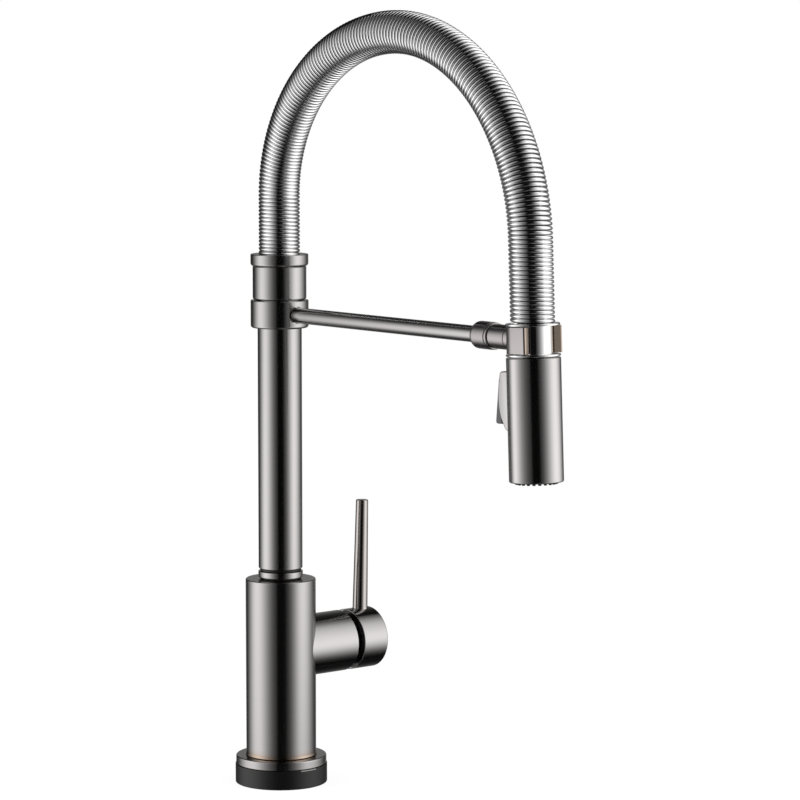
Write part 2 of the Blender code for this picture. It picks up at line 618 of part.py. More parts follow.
def build_hub():
    hole = riserRadius + FIT_GAP
    ring = add_lathe("arm_ring", ring_outline(hole, ARM_RING_DIAMETER / 2, armRingFoot, armRingTop,
                                              ARM_RING_EDGE, ARM_RING_EDGE / 2),
                     spoutAxis, "dark_steel", LARGE_STEPS)
    mouth = ARM_RING_DIAMETER / 2 - ARM_HOLE_DEPTH
    socket = add_lathe("arm_socket", [
        (0.0, 0.0), (ARM_STUD_DIAMETER / 2 + FIT_GAP, 0.0), (ARM_STUD_DIAMETER / 2 + FIT_GAP, mouth),
        (ARM_DIAMETER / 2 + ARM_HOLE_RIM, mouth), (ARM_DIAMETER / 2 + ARM_HOLE_RIM, ARM_RING_DIAMETER),
        (0.0, ARM_RING_DIAMETER),
    ], armAxis, steps=MIDDLE_STEPS)
    use_boolean(ring, socket, "DIFFERENCE")
    grub = GRUB_DIAMETER / 2
    add_rod("arm_grub_screw", grub, -ARM_RING_DIAMETER / 2 + ARM_RING_EDGE, -hole, armAxis, "steel")
    grubHole = add_rod("arm_grub_hole", grub + FIT_GAP, -ARM_RING_DIAMETER, 0.0, armAxis)
    use_boolean(ring, grubHole, "DIFFERENCE")

    sleeve = ring_outline(hole, SLEEVE_DIAMETER / 2, sleeveFoot, sleeveTop, SLEEVE_EDGE, FIT_GAP)
    add_lathe("hub_sleeve", sleeve, spoutAxis, "dark_steel", LARGE_STEPS)
    nippleRadius = SPRING_DIAMETER / 2 - WIRE_DIAMETER
    pocketRadius = SPRING_DIAMETER / 2 + SLIDE_GAP
    skirtFoot = seatFoot - SEAT_SKIRT
    add_lathe("spring_seat", [
        (nippleRadius + FIT_GAP, skirtFoot), (hole - THREAD_GAP, skirtFoot), (hole - THREAD_GAP, seatFoot),
        (SEAT_DIAMETER / 2 - SEAT_EDGE, seatFoot), (SEAT_DIAMETER / 2, seatFoot + SEAT_EDGE),
        (SEAT_DIAMETER / 2, seatTop - SEAT_EDGE / 2), (SEAT_DIAMETER / 2 - SEAT_EDGE / 2, seatTop),
        (pocketRadius, seatTop), (pocketRadius, springSeat), (nippleRadius + FIT_GAP, springSeat),
    ], spoutAxis, "dark_steel", LARGE_STEPS)
    barb = HOSE_BORE / 2 - BARB_GAP
    bore = barb / 2
    nippleFoot = riserTop - NIPPLE_HEIGHT
    add_lathe("hose_nipple", [
        (bore, nippleFoot), (riserBore - FIT_GAP, nippleFoot), (riserBore - FIT_GAP, riserTop),
        (nippleRadius, riserTop), (nippleRadius, nippleShoulder), (barb, nippleShoulder),
        (barb, nippleShoulder + NIPPLE_BARB), (bore, nippleShoulder + NIPPLE_BARB),
    ], spoutAxis, "brass", MIDDLE_STEPS)


# Places along the arm, from the riser axis
cradleRadius = SPOOL_NECK_DIAMETER / 2 + SLIDE_GAP
cradleBack = REACH - CRADLE_BACK
bossFoot = cradleBack - BOSS_LENGTH
neckFoot = bossFoot - FIT_GAP - NECK_LENGTH
lockFoot = neckFoot - FIT_GAP - LOCK_RING_LENGTH
ferruleFoot = lockFoot - FIT_GAP - FERRULE_LENGTH
armFoot = ARM_RING_DIAMETER / 2 - ARM_HOLE_DEPTH + FIT_GAP


def build_arm():
    radius = ARM_DIAMETER / 2
    studRadius = ARM_STUD_DIAMETER / 2
    studFoot = riserRadius + 2 * FIT_GAP
    armEnd = ferruleFoot + FERRULE_LENGTH - FIT_GAP
    add_lathe("support_arm", [
        (0.0, studFoot), (studRadius, studFoot), (studRadius, armFoot), (radius - ARM_EDGE, armFoot),
        (radius, armFoot + ARM_EDGE), (radius, armEnd), (0.0, armEnd),
    ], armAxis, "dark_steel", MIDDLE_STEPS)
    outer = FERRULE_DIAMETER / 2
    corner = arc_points((ferruleFoot + FERRULE_ROUND, outer - FERRULE_ROUND), FERRULE_ROUND, 180, 90, 3)
    add_lathe("arm_ferrule", [(radius + FIT_GAP, ferruleFoot)] + [(r, h) for h, r in corner] + [
        (outer, ferruleFoot + FERRULE_LENGTH - FIT_GAP), (outer - FIT_GAP, ferruleFoot + FERRULE_LENGTH),
        (radius + FIT_GAP, ferruleFoot + FERRULE_LENGTH),
    ], armAxis, "dark_steel", MIDDLE_STEPS)
    stud = NECK_STUD_DIAMETER / 2
    add_lathe("arm_lock_ring", ring_outline(stud + FIT_GAP, LOCK_RING_DIAMETER / 2, lockFoot,
                                            lockFoot + LOCK_RING_LENGTH, FIT_GAP, FIT_GAP * 2),
              armAxis, "dark_steel", MIDDLE_STEPS)
    add_lathe("cradle_neck", [
        (0.0, armEnd + FIT_GAP), (stud, armEnd + FIT_GAP), (stud, neckFoot), (NECK_DIAMETER / 2, neckFoot),
        (NECK_DIAMETER / 2, neckFoot + NECK_LENGTH), (0.0, neckFoot + NECK_LENGTH),
    ], armAxis, "dark_steel", MIDDLE_STEPS)


def build_dock():
    # A U seen from above: the spool's flats slide in between its arms, whose tips lean to lead them in.
    outer = CRADLE_WIDTH / 2
    inner = SPOOL_FLATS / 2 + SLIDE_GAP
    bend, aside = CRADLE_CORNER - CRADLE_BACK, outer - CRADLE_CORNER
    outside = arc_points((bend, aside), CRADLE_CORNER, 90, 180, 8)
    outside += arc_points((bend, -aside), CRADLE_CORNER, 180, 270, 8)
    turn = math.degrees(math.asin(inner / cradleRadius))
    inside = arc_points((0, 0), cradleRadius, 180 + turn, 180 - turn, 8)
    tip = CRADLE_ARM - CRADLE_EDGE
    lower = [(tip, -outer), (CRADLE_ARM, CRADLE_EDGE - outer), (CRADLE_ARM - CRADLE_LEAD, -inner)]
    upper = [(x, -y) for x, y in reversed(lower)]
    outline = outside + lower + inside + upper
    cradle = add_prism("docking_cradle", outline, spoolWaist + SLIDE_GAP, spoolLip - SLIDE_GAP, wandAxis,
                       "dark_steel")
    bossEnd = REACH - (cradleRadius + CRADLE_BACK) / 2
    boss = add_rod("cradle_boss", NECK_DIAMETER / 2, bossFoot, bossEnd, armAxis, steps=MIDDLE_STEPS)
    use_boolean(cradle, boss, "UNION")
    magnetEnd = REACH - cradleRadius - FIT_GAP
    magnetFoot = magnetEnd - MAGNET_LENGTH
    add_rod("dock_magnet", MAGNET_DIAMETER / 2, magnetFoot, magnetEnd, armAxis, "magnet")
    pocket = add_rod("magnet_pocket", MAGNET_DIAMETER / 2 + FIT_GAP, magnetFoot - FIT_GAP, REACH, armAxis)
    use_boolean(cradle, pocket, "DIFFERENCE")


def arch_route():
    # Straight up from the seat, a quarter ellipse to the crown, a leaning one down, straight to the spool.
    down = Vector((math.sin(lean), 0.0, -math.cos(lean)))
    spoolSeat = Vector((REACH, 0.0, ARM_HEIGHT)) - down * (spoolTop + FIT_GAP)
    crown = Vector((CROWN_X, 0.0, CROWN_HEIGHT))
    rise = CROWN_HEIGHT - RISE_STRAIGHT_TOP
    fallEndHeight = CROWN_HEIGHT - FALL_HEIGHT * math.cos(lean)
    fallEndX = REACH + (ARM_HEIGHT - fallEndHeight) * math.tan(lean)
    fallReach = fallEndX - CROWN_X - FALL_HEIGHT * math.sin(lean)
    points = [Vector((0.0, 0.0, springSeat + FIT_GAP))]
    for i in range(101):
        turn = quarter * i / 100
        height = RISE_STRAIGHT_TOP + rise * math.sin(turn)
        points.append(Vector((CROWN_X * (1 - math.cos(turn)), 0.0, height)))
    for i in range(1, 101):
        turn = quarter * i / 100
        across = Vector((fallReach * math.sin(turn), 0.0, 0.0))
        points.append(crown + across + down * (FALL_HEIGHT * (1 - math.cos(turn))))
    points.append(spoolSeat)
    lengths = [0.0]
    for first, second in zip(points, points[1:]):
        lengths.append(lengths[-1] + (second - first).length)
    return points, lengths


def along(route, distance):
    points, lengths = route
    place_in = min(max(int(np.searchsorted(lengths, distance)), 1), len(points) - 1)
    first, second = points[place_in - 1], points[place_in]
    share = (distance - lengths[place_in - 1]) / (lengths[place_in] - lengths[place_in - 1])
    return first.lerp(second, share), (second - first).normalized()


def least_gap(points, curl, wire):
    # Distance between turns, measured on points four to a segment, less the wire.
    rough = np.array([tuple(p) for p in points])
    steps = rough[1:] - rough[:-1]
    fine = np.concatenate([rough[:-1] + steps * share for share in (0.0, 0.25, 0.5, 0.75)], axis=1)
    fine = fine.reshape(-1, 3)
    least = 1.0
    for step in range(2 * curl, 10 * curl):
        least = min(least, float(np.linalg.norm(fine[step:] - fine[:-step], axis=1).min()))
    return least - wire


def build_spring(route):
    length = route[1][-1]
    mean = (SPRING_DIAMETER - WIRE_DIAMETER) / 2
    side = Vector((0.0, 1.0, 0.0))
    first = WIRE_DIAMETER * 1.5
    count = SPRING_CURLS * CURL_POINTS
    points = []
    for i in range(count + 1):
        middle, ahead = along(route, first + (length - 2 * first) * i / count)
        angle = math.tau * i / CURL_POINTS
        points.append(middle + (side * math.cos(angle) + side.cross(ahead) * math.sin(angle)) * mean)
    # Both ends run straight for one wire diameter, square to the seat that they meet.
    start, startAhead = along(route, 0.0)
    end, endAhead = along(route, length)
    points.insert(0, start + side * mean + startAhead * WIRE_DIAMETER)
    points.insert(0, start + side * mean)
    points.append(end + side * mean - endAhead * WIRE_DIAMETER)
    points.append(end + side * mean)
    curve = bpy.data.curves.new("spout_spring", "CURVE")
    curve.dimensions = "3D"
    curve.bevel_depth = WIRE_DIAMETER / 2
    curve.bevel_resolution = 1
    curve.use_fill_caps = True
    line = curve.splines.new("POLY")
    line.points.add(len(points) - 1)
    for spot, point in zip(line.points, points):
        spot.co = (*point, 1.0)
    curve.materials.append(make_material("spout_spring", "chrome"))
    spring = bpy.data.objects.new("spout_spring", curve)
    spring.parent = spoutAxis
    bpy.context.scene.collection.objects.link(spring)
    gap = least_gap(points[2:-2], CURL_POINTS, WIRE_DIAMETER)
    print("spout_spring least gap to itself: %.2f mm" % (gap * 1000))


def build_hose(route):
    # A pipe swept along the arch: rings of outer and inner points, bridged and closed at both ends.
    length = route[1][-1]
    stations, sides = 24, 8
    side = Vector((0.0, 1.0, 0.0))
    mesh = bmesh.new()
    walls = []
    for radius in (hoseRadius, HOSE_BORE / 2):
        rings = []
        for i in range(stations + 1):
            middle, ahead = along(route, length * i / stations)
            out = side.cross(ahead)
            spokes = [side * math.cos(math.tau * k / sides) + out * math.sin(math.tau * k / sides)
                      for k in range(sides)]
            rings.append([mesh.verts.new(middle + spoke * radius) for spoke in spokes])
        walls.append(rings)
    outer, inner = walls
    pairs = list(zip(outer, outer[1:])) + list(zip(inner[1:], inner))
    pairs += [(outer[-1], inner[-1]), (inner[0], outer[0])]
    for low, high in pairs:
        for k in range(sides):
            n = (k + 1) % sides
            mesh.faces.new((low[k], low[n], high[n], high[k]))
    bmesh.ops.recalc_face_normals(mesh, faces=mesh.faces)
    add_object("spray_hose", mesh, spoutAxis, "rubber")


def build_wand():
    flange = SPOOL_DIAMETER / 2
    neck = SPOOL_NECK_DIAMETER / 2
    bore = SPOOL_BORE / 2
    spool = add_lathe("dock_spool", [
        (bore, spoolFoot), (flange - SPOOL_EDGE, spoolFoot), (flange, spoolFoot + SPOOL_EDGE),
        (flange, spoolWaist), (neck, spoolWaist), (neck, spoolLip), (flange, spoolLip),
        (flange, spoolTop - SPOOL_EDGE), (flange - SPOOL_EDGE, spoolTop), (bore, spoolTop),
    ], wandAxis, "chrome", LARGE_STEPS)
    for side in (-1, 1):
        near, far = side * SPOOL_FLATS / 2, side * flange
        flat = [(-flange, near), (flange, near), (flange, far), (-flange, far)]
        use_boolean(spool, add_prism("spool_flat", flat, spoolWaist, spoolLip, wandAxis), "DIFFERENCE")
    barrel = bore - THREAD_GAP
    roofUnder = wandTop - WAND_ROOF
    nutTop = roofUnder - FIT_GAP
    nutFoot = nutTop - NIPPLE_NUT_HEIGHT
    nutRadius = NIPPLE_NUT_DIAMETER / 2
    add_lathe("wand_nipple", [
        (HOSE_BORE / 2, nutFoot), (nutRadius, nutFoot), (nutRadius, nutTop), (barrel, nutTop),
        (barrel, spoolTop - FIT_GAP), (HOSE_BORE / 2, spoolTop - FIT_GAP),
    ], wandAxis, "brass", MIDDLE_STEPS)
    shell = add_lathe("wand_shell", [
        (bore, wandTop), (wandRadius - FIT_GAP, wandTop), (wandRadius, wandTop - FIT_GAP),
        (wandRadius, wandFoot + WAND_EDGE), (wandRadius - WAND_EDGE, wandFoot), (wandBore, wandFoot),
        (wandBore, roofUnder), (bore, roofUnder),
    ], wandAxis, "dark_steel", LARGE_STEPS)

    faceFoot = wandFoot + FACE_RECESS
    padTop = faceFoot + NOZZLE_PAD
    coreFoot = padTop + FIT_GAP
    coreTop = coreFoot + CORE_HEIGHT
    coreRadius = wandBore - FIT_GAP
    coreNeck = CORE_NECK_DIAMETER / 2
    core = add_lathe("spray_core", [
        (CORE_BORE / 2, coreFoot), (coreRadius, coreFoot), (coreRadius, coreTop), (coreNeck, coreTop),
        (coreNeck, nutFoot - FIT_GAP), (CORE_BORE / 2, nutFoot - FIT_GAP),
    ], wandAxis, "white_plastic", MIDDLE_STEPS)
    aerator = AERATOR_DIAMETER / 2
    pad = add_lathe("nozzle_pad", ring_outline(aerator + FIT_GAP, coreRadius, faceFoot, padTop),
                    wandAxis, "rubber", MIDDLE_STEPS)
    tips = bmesh.new()
    low = wandFoot - NOZZLE_SHOW
    high = (faceFoot + padTop) / 2
    for i in range(NOZZLE_COUNT):
        angle = math.tau * i / NOZZLE_COUNT
        middle = (NOZZLE_RING_DIAMETER / 2 * math.cos(angle), NOZZLE_RING_DIAMETER / 2 * math.sin(angle))
        spot = Matrix.Translation((*middle, (low + high) / 2))
        bmesh.ops.create_cone(tips, cap_ends=True, segments=5, radius1=NOZZLE_DIAMETER / 2 - FIT_GAP,
                              radius2=NOZZLE_DIAMETER / 2, depth=high - low, matrix=spot)
    use_boolean(pad, add_object("nozzle_tips", tips, wandAxis), "UNION")
    lip = AERATOR_BORE / 2
    add_lathe("aerator_housing", [
        (lip - AERATOR_LIP, faceFoot), (aerator - FIT_GAP, faceFoot), (aerator, faceFoot + FIT_GAP),
        (aerator, padTop), (lip, padTop), (lip, faceFoot + AERATOR_LIP),
        (lip - AERATOR_LIP, faceFoot + AERATOR_LIP),
    ], wandAxis, "grey_plastic", MIDDLE_STEPS)
    screenFoot = faceFoot + AERATOR_LIP + FIT_GAP
    screenTop = screenFoot + SCREEN_THICKNESS
    add_rod("aerator_screen", lip - FIT_GAP, screenFoot, screenTop, wandAxis, "steel", MIDDLE_STEPS)

    # The diverter rod slides through the shell and into the core, behind the rocker.
    rodAxis = make_axis("rod_axis", (0, 0, -BUTTON_TOP - ROD_DROP), (0, -quarter, 0), wandAxis)
    rodRadius = ROD_DIAMETER / 2
    rodEnd = rockerHeel - ROD_GAP
    add_rod("diverter_rod", rodRadius, coreNeck / 2, rodEnd, rodAxis, "steel")
    way = add_rod("rod_way", rodRadius + FIT_GAP, 0.0, WAND_DIAMETER, rodAxis)
    use_boolean(shell, way, "DIFFERENCE")
    use_boolean(core, way, "DIFFERENCE")
    build_button(way)


# The rocker turns on a pin across the bezel.
rockerTop = BUTTON_TOP + ROCKER_TOP_INSET
rockerFoot = rockerTop + ROCKER_LENGTH
pinOut = wandRadius + ROCKER_PIN_OUT
bezelFloor = wandRadius + FIT_GAP + BEZEL_FLOOR
rockerHeel = bezelFloor + ROCKER_TRAVEL + 2 * SLIDE_GAP
rockerAxis = make_axis("rocker_axis", (-pinOut, 0, -BUTTON_TOP - ROCKER_PIN_DROP), parent=wandAxis)


def build_button(way):
    half = BUTTON_WIDTH / 2
    front = wandRadius + BUTTON_PROUD
    top = BUTTON_TOP
    foot = BUTTON_TOP + BUTTON_HEIGHT

    def side_prism(name, outline, width, finish=None):
        # Outline points are (distance out from the wand axis, distance below the arm).
        flat = [(-out, -drop) for out, drop in outline]
        thing = add_prism(name, flat, -width / 2, width / 2, wandAxis, finish)
        return place(thing, (0, 0, 0), (quarter, 0, 0))

    # The bezel swells from a square top to a crest and falls away more steeply below it.
    inner = wandRadius / 2
    swell = []
    for i in range(10):
        share = BEZEL_TOP_CUT + (1 - BEZEL_TOP_CUT) * i / 9
        span = BEZEL_RISE if share < BEZEL_CREST else BEZEL_FALL
        out = wandRadius + BUTTON_PROUD * (1 - ((share - BEZEL_CREST) / span) ** 2)
        swell.append((out, top + BUTTON_HEIGHT * share))
    bezel = side_prism("button_bezel", [
        (inner, top), (wandRadius + BUTTON_PROUD * BEZEL_TOP_CUT, top), *swell, (inner, foot),
    ], BUTTON_WIDTH, "dark_steel")
    wall = add_rod("bezel_seat", wandRadius + FIT_GAP, wandFoot, wandTop, wandAxis, steps=LARGE_STEPS)
    use_boolean(bezel, wall, "DIFFERENCE")
    ends = (rockerTop - 2 * SLIDE_GAP, rockerFoot + 3 * SLIDE_GAP)
    pocket = side_prism("bezel_pocket", [
        (bezelFloor, ends[0]), (front * 2, ends[0]), (front * 2, ends[1]), (bezelFloor, ends[1]),
    ], BUTTON_WIDTH - 2 * BEZEL_SIDE)
    use_boolean(bezel, pocket, "DIFFERENCE")
    use_boolean(bezel, way, "DIFFERENCE")

    face = front + ROCKER_PROUD
    rise = ROCKER_LENGTH * math.tan(math.radians(ROCKER_TILT_DEG))
    under = bezelFloor + SLIDE_GAP
    pivot = BUTTON_TOP + ROCKER_PIN_DROP
    rockerWidth = BUTTON_WIDTH - 2 * BEZEL_SIDE - 2 * SLIDE_GAP
    corner = arc_points((face - ROCKER_ROUND, rockerFoot - ROCKER_ROUND), ROCKER_ROUND, 0, 90, 3)
    lump = ROCKER_PIN_DIAMETER / 2
    rocker = side_prism("spray_rocker", [
        (pinOut - ROCKER_PIN_DIAMETER, rockerTop), (face - rise, rockerTop), *corner,
        (rockerHeel, rockerFoot), (rockerHeel, pivot + 4 * lump), (under, pivot + lump), (under, pivot - lump),
    ], rockerWidth, "grey_plastic")
    pin = ROCKER_PIN_DIAMETER / 2
    reach = half - FIT_GAP
    turn = (quarter, 0, 0)
    place(add_rod("rocker_pin", pin, -reach, reach, rockerAxis, "steel", 8), (0, 0, 0), turn)
    hole = add_rod("rocker_pin_hole", pin + FIT_GAP, -BUTTON_WIDTH, BUTTON_WIDTH, rockerAxis, steps=8)
    place(hole, (0, 0, 0), turn)
    use_boolean(bezel, hole, "DIFFERENCE")
    use_boolean(rocker, hole, "DIFFERENCE")


build_base()
build_fixing()
build_body()
build_cartridge()
build_handle()
build_swivel()
build_hub()
build_arm()
build_dock()
archRoute = arch_route()
build_spring(archRoute)
build_hose(archRoute)
build_wand()
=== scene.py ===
import json
import math

import bmesh
import bpy
import numpy as np
from mathutils import Matrix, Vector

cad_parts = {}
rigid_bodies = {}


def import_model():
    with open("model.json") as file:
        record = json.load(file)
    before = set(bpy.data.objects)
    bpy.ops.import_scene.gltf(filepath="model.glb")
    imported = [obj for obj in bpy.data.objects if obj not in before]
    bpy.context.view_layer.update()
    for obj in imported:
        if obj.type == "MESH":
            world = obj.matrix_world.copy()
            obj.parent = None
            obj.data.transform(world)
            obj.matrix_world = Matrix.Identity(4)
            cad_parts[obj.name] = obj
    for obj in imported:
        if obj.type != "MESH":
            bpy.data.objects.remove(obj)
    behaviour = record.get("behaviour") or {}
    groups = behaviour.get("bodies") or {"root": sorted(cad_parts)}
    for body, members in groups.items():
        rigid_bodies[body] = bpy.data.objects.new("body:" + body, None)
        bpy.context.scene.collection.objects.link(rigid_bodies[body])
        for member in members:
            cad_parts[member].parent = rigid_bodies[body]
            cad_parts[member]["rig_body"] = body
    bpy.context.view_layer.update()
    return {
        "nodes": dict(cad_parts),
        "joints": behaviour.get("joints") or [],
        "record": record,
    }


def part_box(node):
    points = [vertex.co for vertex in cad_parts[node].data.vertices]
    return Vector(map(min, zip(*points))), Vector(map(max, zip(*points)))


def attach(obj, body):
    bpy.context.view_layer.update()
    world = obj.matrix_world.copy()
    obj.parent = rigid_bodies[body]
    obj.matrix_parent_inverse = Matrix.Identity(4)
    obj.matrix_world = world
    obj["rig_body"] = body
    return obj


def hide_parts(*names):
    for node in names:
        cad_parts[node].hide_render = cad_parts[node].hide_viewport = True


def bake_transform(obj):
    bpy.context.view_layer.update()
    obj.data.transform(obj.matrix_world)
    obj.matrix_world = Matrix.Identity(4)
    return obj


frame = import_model()
nodes = frame["nodes"]
joints = {joint["name"]: joint for joint in frame["joints"]}
slotOf = {part["node"]: part["material_slot"] for part in frame["record"]["subparts"]}
print("frame loaded:", len(nodes), "solids")


# Camera, floor and light

cameraSpot = {
    "place": (1.8156, -1.3932, 0.5158),
    "looks": (-0.76636, 0.63316, -0.10863),
    "lens": 150.9,   # mm
    "sensor": 36.0,   # mm
    "farEnd": 50.0,   # metres
}
cameraTurn = math.atan2(-cameraSpot["looks"][1], -cameraSpot["looks"][0])   # where it stands round the column
floorSheet = {"reach": 6.0, "shade": 0.90, "shadowShare": 0.10, "shadowReach": 0.35}
lightPanels = {
    # away and half: metres; bells: degrees before and past the middle; level, up and down: metres of height
    "left": {"turnDeg": -81.0, "away": 0.60, "half": 1.75, "bells": (24.0, 26.5),
             "level": 0.12, "up": 0.46, "down": 0.38, "open": 1.5, "shut": 0.8,
             "slant": 0.5, "plateau": 0.10, "strength": 1.72},
    "right": {"turnDeg": 79.0, "away": 1.00, "half": 1.80, "bells": (21.5, 27.0),
              "level": 0.15, "up": 0.34, "down": 0.38, "open": 1.0, "shut": 0.0,
              "slant": 0.0, "plateau": 0.76, "strength": 1.80},
}
panelCloth = {"foot": -1.5, "top": 2.5, "fadesFrom": 0.95}   # metres, and a share of the half width
darkTent = {
    "centre": (0.12, 0.0, 0.28),
    "radius": 3.5, "around": 64, "rings": 32,
    # turn from the camera, elevation and spread in degrees, and strength, of faint glows on its wall
    "glows": {"back": (180.0, -6.0, 20.0, 0.30), "frontFloor": (50.0, -52.0, 16.0, 0.40)},
    "rest": 0.004,
}
clothGlow = (1.0, 0.993, 0.988, 1.0)
plainWhite = (1.0, 1.0, 1.0, 1.0)
fillLamps = {
    "left": {"place": (-1.3, -1.9, 1.8), "size": 1.6, "watts": 40.0},
    "right": {"place": (1.8, 1.3, 1.8), "size": 1.6, "watts": 40.0},
}


class Wire:
    # A node's output that plain expressions can add, subtract, multiply, divide and raise
    def __init__(self, finish, socket):
        self.finish = finish
        self.socket = socket

    def calc(self, operation, other=0.0, swapped=False):
        first, second = (other, self) if swapped else (self, other)
        return self.finish.node("ShaderNodeMath", {"operation": operation}, {0: first, 1: second})

    def __add__(self, other):
        return self.calc("ADD", other)

    def __radd__(self, other):
        return self.calc("ADD", other, True)

    def __sub__(self, other):
        return self.calc("SUBTRACT", other)

    def __rsub__(self, other):
        return self.calc("SUBTRACT", other, True)

    def __mul__(self, other):
        return self.calc("MULTIPLY", other)

    def __rmul__(self, other):
        return self.calc("MULTIPLY", other, True)

    def __truediv__(self, other):
        return self.calc("DIVIDE", other)

    def __rtruediv__(self, other):
        return self.calc("DIVIDE", other, True)

    def __pow__(self, other):
        return self.calc("POWER", other)

    def __rpow__(self, other):
        return self.calc("POWER", other, True)

    def __abs__(self):
        return self.calc("ABSOLUTE")


class Finish:
    # One node tree: node() adds a node of any type, sets it up and links its sockets.
    def __init__(self, tree):
        self.tree = tree
        tree.nodes.clear()

    def node(self, kind, settings=None, sockets=None, output=0):
        made = self.tree.nodes.new(kind)
        for name, value in (settings or {}).items():
            setattr(made, name, value)
        for name, value in (sockets or {}).items():
            if isinstance(value, Wire):
                self.tree.links.new(value.socket, made.inputs[name])
            else:
                made.inputs[name].default_value = value
        return Wire(self, made.outputs[output])

    def close(self, kind, surface):
        end = self.tree.nodes.new(kind)
        self.tree.links.new(surface.socket, end.inputs["Surface"])


def newMaterial(name):
    material = bpy.data.materials.new(name)
    material.use_nodes = True
    return material, Finish(material.node_tree)


def gauss(wire, width):
    # exp(-(wire / width) squared / 2)
    return ((wire / width) ** 2 * -0.5).calc("EXPONENT")


def seenDirectly(finish):
    # 1 for what the camera sees straight, in a mirror or through glass
    camera, glossy, through = [finish.node("ShaderNodeLightPath", output=name)
                               for name in ("Is Camera Ray", "Is Glossy Ray", "Is Transmission Ray")]
    return camera.calc("MAXIMUM", glossy).calc("MAXIMUM", through)


def stagePlace(finish):
    # Where a point of the stage lies in the room
    return finish.node("ShaderNodeNewGeometry", output="Position")


def vectorCalc(operation, first, second=None, output=0):
    # One step of vector arithmetic
    sockets = {0: first} if second is None else {0: first, 1: second}
    return first.finish.node("ShaderNodeVectorMath", {"operation": operation}, sockets, output)


def linkObject(name, data):
    thing = bpy.data.objects.new(name, data)
    bpy.context.scene.collection.objects.link(thing)
    return thing


def aim(thing, place, looks):
    # Local -z along looks, local x level
    back = -np.array(looks, float) / np.linalg.norm(looks)
    side = np.cross((0.0, 0.0, 1.0), back)
    side /= np.linalg.norm(side)
    table = np.eye(4)
    table[:3, :] = np.column_stack([side, np.cross(back, side), back, place])
    thing.matrix_world = Matrix(table.tolist())


def sheetMesh(name, corners):
    # One flat face through four corners
    mesh = bpy.data.meshes.new(name)
    mesh.from_pydata([tuple(corner) for corner in corners], [], [(0, 1, 2, 3)])
    return mesh


def setCamera():
    # A long lens at the camera's spot
    lens = bpy.data.cameras.new("camera")
    lens.lens = cameraSpot["lens"]
    lens.sensor_width = cameraSpot["sensor"]
    lens.clip_end = cameraSpot["farEnd"]
    camera = linkObject("camera", lens)
    aim(camera, cameraSpot["place"], cameraSpot["looks"])
    bpy.context.scene.camera = camera


def setWorld():
    # Plain white all round
    world = bpy.data.worlds.new("studio")
    world.use_nodes = True
    bpy.context.scene.world = world
    finish = Finish(world.node_tree)
    back = finish.node("ShaderNodeBackground", None, {"Color": plainWhite, "Strength": 1.0})
    finish.close("ShaderNodeOutputWorld", back)


def setFloor():
    # Paper that looks plain white, less a bell of the distance from the column that lets a soft shadow show
    spread, shade = floorSheet["reach"], floorSheet["shade"]
    mesh = sheetMesh("floor", [(u * spread, v * spread, 0) for u, v in ((-1, -1), (1, -1), (1, 1), (-1, 1))])
    material, finish = newMaterial("floorWhite")
    paper = finish.node("ShaderNodeBsdfDiffuse", None, {"Color": (shade, shade, shade, 1.0)})
    glow = finish.node("ShaderNodeEmission", None, {"Color": plainWhite, "Strength": 1.0})
    apart = vectorCalc("LENGTH", stagePlace(finish), None, "Value")
    shadow = floorSheet["shadowShare"] * gauss(apart, floorSheet["shadowReach"])
    share = (1.0 - shadow) * seenDirectly(finish)
    mix = finish.node("ShaderNodeMixShader", None, {0: share, 1: paper, 2: glow})
    finish.close("ShaderNodeOutputMaterial", mix)
    mesh.materials.append(material)
    floor = linkObject("floor", mesh)
    floor.visible_glossy = False


def hangCloth(name, mesh, material, finish, level):
    # Studio cloth that glows at a level and that only polished surfaces see
    glow = finish.node("ShaderNodeEmission", None, {"Color": clothGlow, "Strength": level})
    finish.close("ShaderNodeOutputMaterial", glow)
    material.cycles.emission_sampling = "NONE"
    mesh.materials.append(material)
    cloth = linkObject(name, mesh)
    for kind in ("camera", "diffuse", "transmission", "volume_scatter", "shadow"):
        setattr(cloth, "visible_" + kind, False)


